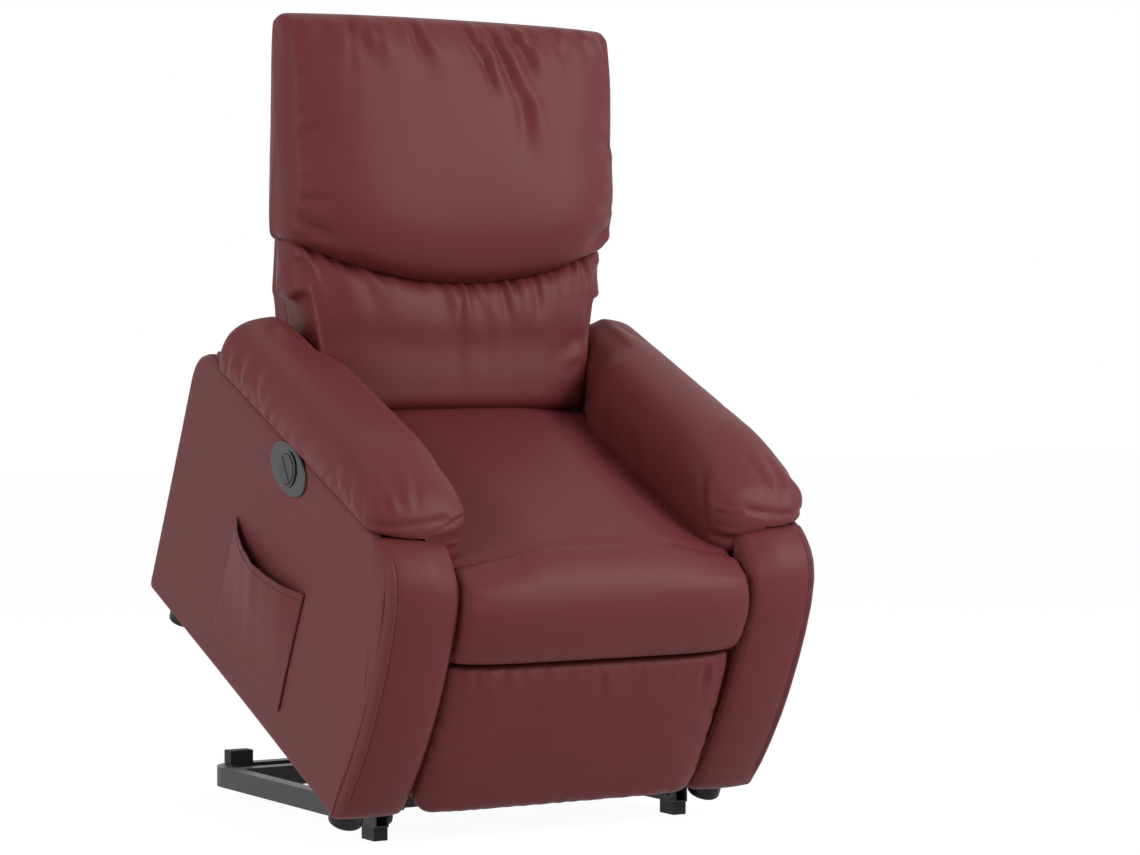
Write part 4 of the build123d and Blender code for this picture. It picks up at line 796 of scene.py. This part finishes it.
soft_piece(
    "seat_cushion_cover",
    sweep(seat_profile, -SEAT_HALF, SEAT_HALF, edge_low=14, edge_high=14, step=4.6, bulge=1.0, rings=5),
    seat_folds,
    BODY,
    "chair",
    ["seat_cushion"],
)


# ---------------------------------------------------------------- footrest pad
PAD_HALF = 258.0
PAD_CREASES = (
    ((206, 300), (208, 225), 7, 4.5),
    ((-212, 300), (-208, 262), 6, 3.0),
    ((10, 298), (20, 238), 7, 3.0),
)


def pad_profile(x):
    """Section at x: a thin upright pad, whose foot lifts with the cube of x over its last seventh."""
    share = abs(x) / PAD_HALF
    lift = 26 * max(0.0, (share - 0.86) / 0.14) ** 3
    back = 16 * share**8
    points = [
        (-344, 66 + lift),
        (-344, 292),
        (-350, 303),
        (-368 + back / 2, 305),
        (-379 + back, 294),
        (-383 + back, 262),
        (-384 + back, 175),
        (-381 + back, 95 + lift),
        (-377 + back, 62 + lift),
        (-366 + back / 2, 49 + lift),
        (-352, 52 + lift),
    ]
    return closed_loop(points, 150)


def pad_folds(points, normals):
    """Gathers below the upper edge, along both sides and above the foot, and three pulled folds."""
    x, y, z = points.T
    front = ease(-normals[:, 1], 0.2, 0.7)
    raised = front * gathers(
        x, 300 - z, low=-230, high=250, count=26, reach=22, depth=2.2, width=5.0, seed=53
    )
    for fold in PAD_CREASES:
        raised += crease(x, z, *fold) * front
    side = PAD_HALF - 8 - np.abs(x)
    raised += front * gathers(
        z, side, low=70, high=210, count=9, reach=40, depth=2.6, width=7.0, seed=59, slant=0.5
    )
    raised += front * gathers(
        x, z - 52, low=-240, high=240, count=20, reach=16, depth=1.0, width=6.0, seed=61
    )
    return raised


soft_piece(
    "footrest_pad_cover",
    sweep(pad_profile, -PAD_HALF, PAD_HALF, edge_low=12, edge_high=12, step=4.5, bulge=1.5, rings=5),
    pad_folds,
    BODY,
    "footrest",
    ["footrest_pad"],
)


# ---------------------------------------------------------------- arms
ARM_INNER = 262.0
ARM_OUTER = 385.0
ARM_BOTTOM = 41.0
ARM_TOP = 490.0
PILLOW_FRONT = -300.0
PILLOW_REAR = 310.0
PILLOW_MIDDLE = np.array([312.0, ARM_TOP + 2.0])
PILLOW_CROWN = 590.0
NOSE_LENGTH = 190.0
NOSE_DROP = 62.0  # how much lower the crown is at the front
SKIRT_INNER = 225.0
SKIRT_HEM = 442.0
PILLOW_SEEDS = {"left": 71, "right": 83}
PILLOW_TOP_CREASES = (
    ((-286, 345), (-160, 350), 9, 2.5),
    ((-284, 322), (-190, 300), 8, 2.5),
    ((-284, 368), (-215, 372), 8, 1.9),
    ((-240, 380), (-150, 356), 9, 1.5),
    ((-60, 384), (-10, 350), 10, 1.2),
    ((250, 330), (170, 352), 12, 1.9),
)
PILLOW_OUTER_CREASES = (
    ((-262, 506), (-205, 548), 7, 2.5),
    ((-225, 504), (-175, 556), 8, 2.2),
    ((-180, 504), (-120, 552), 9, 1.6),
    ((120, 508), (165, 566), 10, 2.2),
    ((190, 506), (215, 566), 9, 2.6),
    ((240, 506), (256, 552), 8, 2.2),
)
PILLOW_INNER_CREASES = (
    ((-262, 472), (-190, 540), 9, 2.5),
    ((-250, 498), (-170, 560), 8, 2.1),
    ((-60, 452), (20, 520), 12, 1.2),
    ((60, 456), (110, 540), 12, 1.9),
)
# The arm's front edge, from its foot to where it meets the top: heights z and the y at each.
EDGE_HEIGHTS = (41, 90, 140, 190, 235, 290, 340, 390, 430, 455, 472, 484, 490)
EDGE_PLACES = (-354, -367, -376, -382, -384.5, -384.5, -382, -376, -365.5, -352, -334, -312, -288)


def arm_pad_profile(y):
    """Section of the left arm's pillow at y, as (x, z): a crown on the panel, a skirt down to the seat.

    Over the nose's length the crown and the skirt's hem drop towards the front, by the distance
    raised to 1.8. Beside the back the inner side steps 26 mm outwards.
    """
    along = (y - PILLOW_FRONT) / NOSE_LENGTH
    droop = max(0.0, 1 - along) ** 1.8
    crown = PILLOW_CROWN - NOSE_DROP * droop
    height = crown - ARM_TOP
    beside_back = float(ease(y, 115.0, 185.0))
    inner = SKIRT_INNER + 26.0 * beside_back
    hang = SKIRT_HEM + 4.0 * beside_back - 20.0 * droop
    points = [
        (385, ARM_TOP + 2),
        (395, ARM_TOP + 0.16 * height),
        (397, ARM_TOP + 0.40 * height),
        (387, ARM_TOP + 0.70 * height),
        (360, ARM_TOP + 0.91 * height),
        (318, crown),
        (inner + 52, ARM_TOP + 0.95 * height),
        (inner + 20, ARM_TOP + 0.76 * height),
        (inner + 3, ARM_TOP + 0.42 * height),
        (inner, ARM_TOP - 6),
        (inner + 3, hang + 12),
        (inner + 13, hang),
        (max(inner + 26, 256), hang + 5),
        (263, ARM_TOP - 18),
        (272, ARM_TOP - 1),
        (320, ARM_TOP + 1),
    ]
    return closed_loop(points, 150)


def arm_pad_sections(sign):
    """Sections of one arm's pillow from front to rear, closer together at both ends.

    Over the last stretch at each end a section shrinks about the middle as a superellipse of power
    2.3 and 2 does.
    """
    sections = []
    for a in np.linspace(0, math.pi, 160):
        t = 0.5 * (0.5 - 0.5 * math.cos(a)) + 0.5 * a / math.pi
        y = PILLOW_FRONT + t * (PILLOW_REAR - PILLOW_FRONT)
        nose = min(1.0, t / 0.075)
        tail = min(1.0, (1 - t) / 0.07)
        close = max(0.02, (1 - (1 - nose) ** 2.3) ** 0.5 * (1 - (1 - tail) ** 2.3) ** 0.5)
        loop = PILLOW_MIDDLE + (arm_pad_profile(y) - PILLOW_MIDDLE) * close
        sections.append(np.column_stack([sign * loop[:, 0], np.full(len(loop), y), loop[:, 1]]))
    return np.array(sections)


def arm_pad_folds(sign, seed):
    """The folds of one arm's pillow, as a function of its points and normals.

    Gathers up from the outer seam, pulled folds on the top and on both sides, a groove across the
    nose, and gathers round the nose's inner end.
    """

    def folds(points, normals):
        x, y, z = points.T
        x = x * sign
        outer = ease(normals[:, 0] * sign, 0.1, 0.6)
        inner = ease(-normals[:, 0] * sign, 0.1, 0.6)
        top = ease(normals[:, 2], 0.2, 0.7)
        nose = ease(-normals[:, 1], 0.15, 0.6)
        raised = outer * gathers(
            y, z - 500, low=-250, high=250, count=16, reach=20, depth=3.0, width=6.0, seed=seed, slant=-0.7
        )
        for fold in PILLOW_TOP_CREASES:
            raised += crease(y, x, *fold, 2.0) * top
        for fold in PILLOW_OUTER_CREASES:
            raised += crease(y, z, *fold, 2.0) * outer
        for fold in PILLOW_INNER_CREASES:
            raised += crease(y, z, *fold, 3.0) * inner
        raised += -4.5 * bell(z - 512 + 0.10 * (x - 330), 4.0) * nose * ease(x, 262, 282)
        from_inside = np.clip(x - 240, 0, None)
        raised += nose * gathers(
            z, from_inside, low=462, high=518, count=8, reach=30, depth=3.6, width=3.4, seed=seed + 3
        )
        return raised

    return folds


def front_edge(z):
    """y of the arm's front edge at height z, straight between its given places."""
    return float(np.interp(z, EDGE_HEIGHTS, EDGE_PLACES))


def arm_front_profile(crown):
    """Section of a padded arm front, as (y, z): the front edge, set forward by 0.9 crown, and its back."""
    heights = (46, 90, 140, 190, 235, 290, 340, 390, 425, 450, 470, 483)
    outer = [(front_edge(z) - crown * 0.9, float(z)) for z in heights]
    outer.append((-286.0, ARM_TOP - 1.0))
    back = [(-286.0, 474.0), (-322.0, 450.0), (-344.0, 420.0), (-356.0, 350.0), (-360.0, 235.0)]
    back += [(-352.0, 140.0), (-336.0, 46.0)]
    return closed_loop(outer + back, 200)


def arm_front_sections(sign):
    """Sections of one padded arm front across x.

    Its crown falls with the fourth power of the distance from the middle. The inner upper corner is
    drawn down and back, under the pillow.
    """
    low, high = ARM_INNER, ARM_OUTER + 1.0
    middle, half = (low + high) / 2, (high - low) / 2

    def profile(x):
        share = (x - middle) / half
        return arm_front_profile(7.5 * (1 - share**4) + 1.2 * math.cos(share * math.pi) - 7.0)

    sections = sweep(profile, low, high, edge_low=13, edge_high=9, step=3.6, bulge=0.5, rings=4)
    x, z = sections[:, :, 0], sections[:, :, 2]
    corner = ease(x, low + 60, low) * ease(z, 400, ARM_TOP)
    sections[:, :, 2] -= 9 * corner
    sections[:, :, 1] += 6 * corner
    sections[:, :, 0] *= sign
    return sections


def side_outline():
    """The outer side's outline, as (y, z): the front edge set back 2 mm, a big round rear upper corner."""
    heights = (90, 140, 190, 235, 290, 340, 390, 430, 455, 472)
    corners = [(384.0, ARM_BOTTOM), (-351.0, ARM_BOTTOM)]
    corners += [(front_edge(z) + 2.0, float(z)) for z in heights]
    corners += [(-282.0, ARM_TOP), (384.0, ARM_TOP)]
    reaches = [9.0, 7.0] + [7.0] * len(heights) + [10.0, 62.0]
    return rounded_outline(corners, reaches, 520)


SIDE_REAR_FACE = 371.5  # x of the hidden face, against the panel
SIDE_SHOULDER = 375.0  # x where the rounded edge starts
SIDE_ROUND = 13.0  # how far the rounded edge reaches inwards over the face
SIDE_RISE = 10.6  # how far it rises
SIDE_CROWN = 0.8  # how far the face stands out past it in the middle


def arm_side_sections(sign):
    """The padded outer side: the outline shrunk about its middle, in stacked rings.

    The hidden face opens out in rings. The edge then follows a quarter of an ellipse, and the seen
    face closes in rings that rise by one less the square of their share.
    """
    outline = side_outline()
    middle = outline.mean(axis=0)
    inwards = (middle - outline) / np.linalg.norm(outline - middle, axis=1)[:, None]
    first = outline + inwards * 3.0
    rings = [(SIDE_REAR_FACE, middle + (first - middle) * share) for share in np.linspace(0.02, 1, 12)[:-1]]
    for x, amount in ((SIDE_REAR_FACE, 3.0), (SIDE_REAR_FACE + 0.5, 1.0), (SIDE_SHOULDER, 0.0)):
        rings.append((x, outline + inwards * amount))
    for a in np.linspace(0, math.pi / 2, 8)[1:]:
        edge = outline + inwards * SIDE_ROUND * (1 - math.cos(a))
        rings.append((SIDE_SHOULDER + SIDE_RISE * math.sin(a), edge))
    rim = rings[-1][1]
    for share in np.linspace(1, 0.02, 16)[1:]:
        face_x = SIDE_SHOULDER + SIDE_RISE + SIDE_CROWN * (1 - share**2)
        rings.append((face_x, middle + (rim - middle) * share))
    return np.array([np.column_stack([np.full(len(loop), sign * x), loop]) for x, loop in rings])


for side, sign in SIDES:
    soft_piece(
        f"arm_pad_cover_{side}",
        arm_pad_sections(sign),
        arm_pad_folds(sign, PILLOW_SEEDS[side]),
        BODY,
        "chair",
        [f"arm_pad_{side}"],
    )
    soft_piece(
        f"arm_front_cover_{side}",
        arm_front_sections(sign),
        None,
        BODY,
        "chair",
        [f"arm_front_{side}"],
        rounds=1,
    )
    soft_piece(
        f"arm_side_cover_{side}",
        arm_side_sections(sign),
        None,
        BODY,
        "chair",
        [f"arm_outer_panel_{side}"],
        rounds=0,
        # the leather copy with a painted sheen in its colour
        material=WINE_PAINTED_SHEEN,
    )
    piping = [(sign * (ARM_OUTER - 15.0), front_edge(z) + 2.4, float(z)) for z in np.linspace(46, 484, 40)]
    tube(f"arm_piping_outer_{side}", open_line(piping, 90), 1.3, BODY, "chair", WINE)


# ---------------------------------------------------------------- back shell
SHELL_HALF = 270.0
SHELL_FOOT = -18.0


def shell_profile(x):
    """Section of the back's rear panel at x: two fingers thick, its foot stepped up twice at the sides."""
    past_rails = float(ease(abs(x), 224.0, 238.0))
    past_arms = float(ease(abs(x), 251.0, 259.0))
    low = SHELL_FOOT + 118 * past_rails + 192 * past_arms
    points = [
        (14, 519),
        (42, 517),
        (48, 505),
        (54, 0.5 * (low + 505)),
        (60, low + 12),
        (52, low + 1),
        (26, low),
        (14, low + 8),
        (10, 0.5 * (low + 505)),
    ]
    return closed_loop(points, 120)


soft_piece(
    "back_panel_cover",
    sweep(shell_profile, -SHELL_HALF, SHELL_HALF, edge_low=14, edge_high=14, step=4.0, bulge=1.5, rings=6),
    None,
    BACK,
    "back",
    ["outer_back_shell"],
    rounds=4,
    # the leather copy with a painted sheen in its colour
    material=WINE_PAINTED_SHEEN,
)


# ---------------------------------------------------------------- side pocket
POCKET_HALF = 127.5
POCKET_LOW = 100.0
POCKET_HIGH = 306.0
POCKET_SAG = 20.0
POCKET_GAPE = 20.0
POCKET_COLUMNS, POCKET_ROWS = 61, 51
CLOTH_THICK = 1.8
HEM_ROW = 47


def pocket_sheet():
    """A patch sewn down at three edges: its vertices, its faces, and the grid of its outer face.

    The mouth's edge sags as a parabola. The patch stands off the panel by a bell that grows up
    towards the mouth, with two sine ripples in it.
    """
    u, v = np.meshgrid(np.linspace(-1, 1, POCKET_COLUMNS), np.linspace(0, 1, POCKET_ROWS), indexing="ij")
    sag = POCKET_SAG * (1 - u**2) * (1 + 0.35 * u)
    y = u * POCKET_HALF * (1 - 0.012 * np.sin(math.pi * v))
    z = POCKET_LOW + v * (POCKET_HIGH - POCKET_LOW - sag)
    gape = POCKET_GAPE * (1 - np.abs(u) ** 2.4) * ease(v, 0.15, 1.05) + 3.2
    gape += 1.1 * np.sin(u * 9 + 0.8) * v * (1 - u**2) + 0.7 * np.sin(u * 17) * v * (1 - u**2)
    face = np.stack([-(ARM_OUTER + 1.2 + gape), y, z], -1)
    back = face + np.array([CLOTH_THICK, 0, 0])
    verts = np.vstack([face.reshape(-1, 3), back.reshape(-1, 3)])
    grid = np.arange(u.size).reshape(u.shape)
    cells = np.stack([grid[:-1, :-1], grid[1:, :-1], grid[1:, 1:], grid[:-1, 1:]], -1).reshape(-1, 4)
    both_faces = np.stack([cells, u.size + cells[:, ::-1]], 1).reshape(-1, 4)
    rim = np.concatenate([grid[:, 0], grid[-1, 1:], grid[-2::-1, -1], grid[0, -2:0:-1]])
    after = np.roll(rim, -1)
    edges = np.stack([after, rim, u.size + rim, u.size + after], -1)
    return verts, np.vstack([both_faces, edges]).tolist(), face


pocket_verts, pocket_faces, pocket_face = pocket_sheet()
# The pocket's cloth uses the leather copy with a painted sheen in its colour.
pocket = mesh_object("side_pocket_cloth", pocket_verts, pocket_faces, BODY, WINE_PAINTED_SHEEN, "chair")
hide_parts("side_pocket")
hem = tube("pocket_hem_stitch", pocket_face[:, HEM_ROW] + np.array([-0.1, 0, 0]), 0.55, BODY, "chair")
edge = np.vstack([pocket_face[0, ::-1], pocket_face[1:, 0], pocket_face[-1, 1:]])
edge_seam = tube("pocket_edge_seam", edge + np.array([1.0, 0, 0]), 1.0, BODY, "chair")


# ---------------------------------------------------------------- floor and light
FLOOR_REACH = 14.0
FLOOR_DROP = 0.0005  # how far it lies under the feet
FLOOR_GREY = 0.8
FLOOR_ROUGHNESS = 0.9
FLOOR_GLOW = 1.12
FLOOR_GLOW_SHARE = 0.85  # of what is seen of the floor; the rest is its lit grey
WORLD_LIGHT = 0.19
LAMPS = (  # name, place, aim, width and height, watts
    ("key", (2.3, -3.0, 2.3), (0, -0.1, 0.7), (2.0, 2.0), 122),
    ("fill", (-3.8, -0.8, 1.5), (0, 0, 0.6), (2.6, 2.6), 74),
    ("top", (-0.2, 0.2, 4.0), (0, 0, 0.6), (3.0, 3.0), 24),
)


def seen_directly(tree):
    """1 for a ray from the camera, a mirror or glass, else 0: the largest of Light Path's three outputs."""
    rays = tree.nodes.new("ShaderNodeLightPath").outputs
    seen = Sock(tree, rays["Is Camera Ray"])
    return seen.maths("MAXIMUM", rays["Is Glossy Ray"]).maths("MAXIMUM", rays["Is Transmission Ray"])


def blend(tree, factor, first, second, target):
    """Feeds target with the first shader where factor is 0 and the second where it is 1."""
    node = tree.nodes.new("ShaderNodeMixShader")
    factor.feed(node.inputs[0])
    tree.links.new(first, node.inputs[1])
    tree.links.new(second, node.inputs[2])
    tree.links.new(node.outputs[0], target)


def white_floor():
    """Grey to the lamps, so that it takes the chair's shadow; mostly a glowing white to the eye."""
    material = bpy.data.materials.new("white_floor")
    material.use_nodes = True
    tree = material.node_tree
    surface = tree.nodes["Principled BSDF"]
    surface.inputs["Base Color"].default_value = (FLOOR_GREY, FLOOR_GREY, FLOOR_GREY, 1)
    surface.inputs["Roughness"].default_value = FLOOR_ROUGHNESS
    glow = tree.nodes.new("ShaderNodeEmission")
    glow.inputs["Strength"].default_value = FLOOR_GLOW
    share = seen_directly(tree) * FLOOR_GLOW_SHARE
    blend(tree, share, surface.outputs[0], glow.outputs[0], tree.nodes["Material Output"].inputs[0])
    return material


def white_world():
    """Even white light at WORLD_LIGHT, and a plain white where the world itself is seen."""
    world = bpy.data.worlds.new("studio")
    world.use_nodes = True
    tree = world.node_tree
    lighting = tree.nodes["Background"]
    lighting.inputs["Color"].default_value = (1, 1, 1, 1)
    lighting.inputs["Strength"].default_value = WORLD_LIGHT
    white = tree.nodes.new("ShaderNodeBackground")
    white.inputs["Color"].default_value = (1, 1, 1, 1)
    surface = tree.nodes["World Output"].inputs[0]
    blend(tree, seen_directly(tree), lighting.outputs[0], white.outputs[0], surface)
    return world


def lamp(name, at, aim, size, power):
    """A rectangular lamp at a place, turned towards its aim."""
    data = bpy.data.lights.new(name, "AREA")
    data.shape = "RECTANGLE"
    data.size, data.size_y = size
    data.energy = power
    made = add_object(name, data)
    made.location = at
    point_at(made, Vector(aim) - Vector(at))


floor_mesh = bpy.data.meshes.new("floor")
floor_corners = [(x * FLOOR_REACH, y * FLOOR_REACH, 0) for x, y in ((-1, -1), (1, -1), (1, 1), (-1, 1))]
floor_mesh.from_pydata(floor_corners, [], [(0, 1, 2, 3)])
floor_mesh.materials.append(white_floor())
floor = add_object("floor", floor_mesh)
floor.location.z = -FLOOR_DROP
bpy.context.scene.world = white_world()
for lamp_values in LAMPS:
    lamp(*lamp_values)
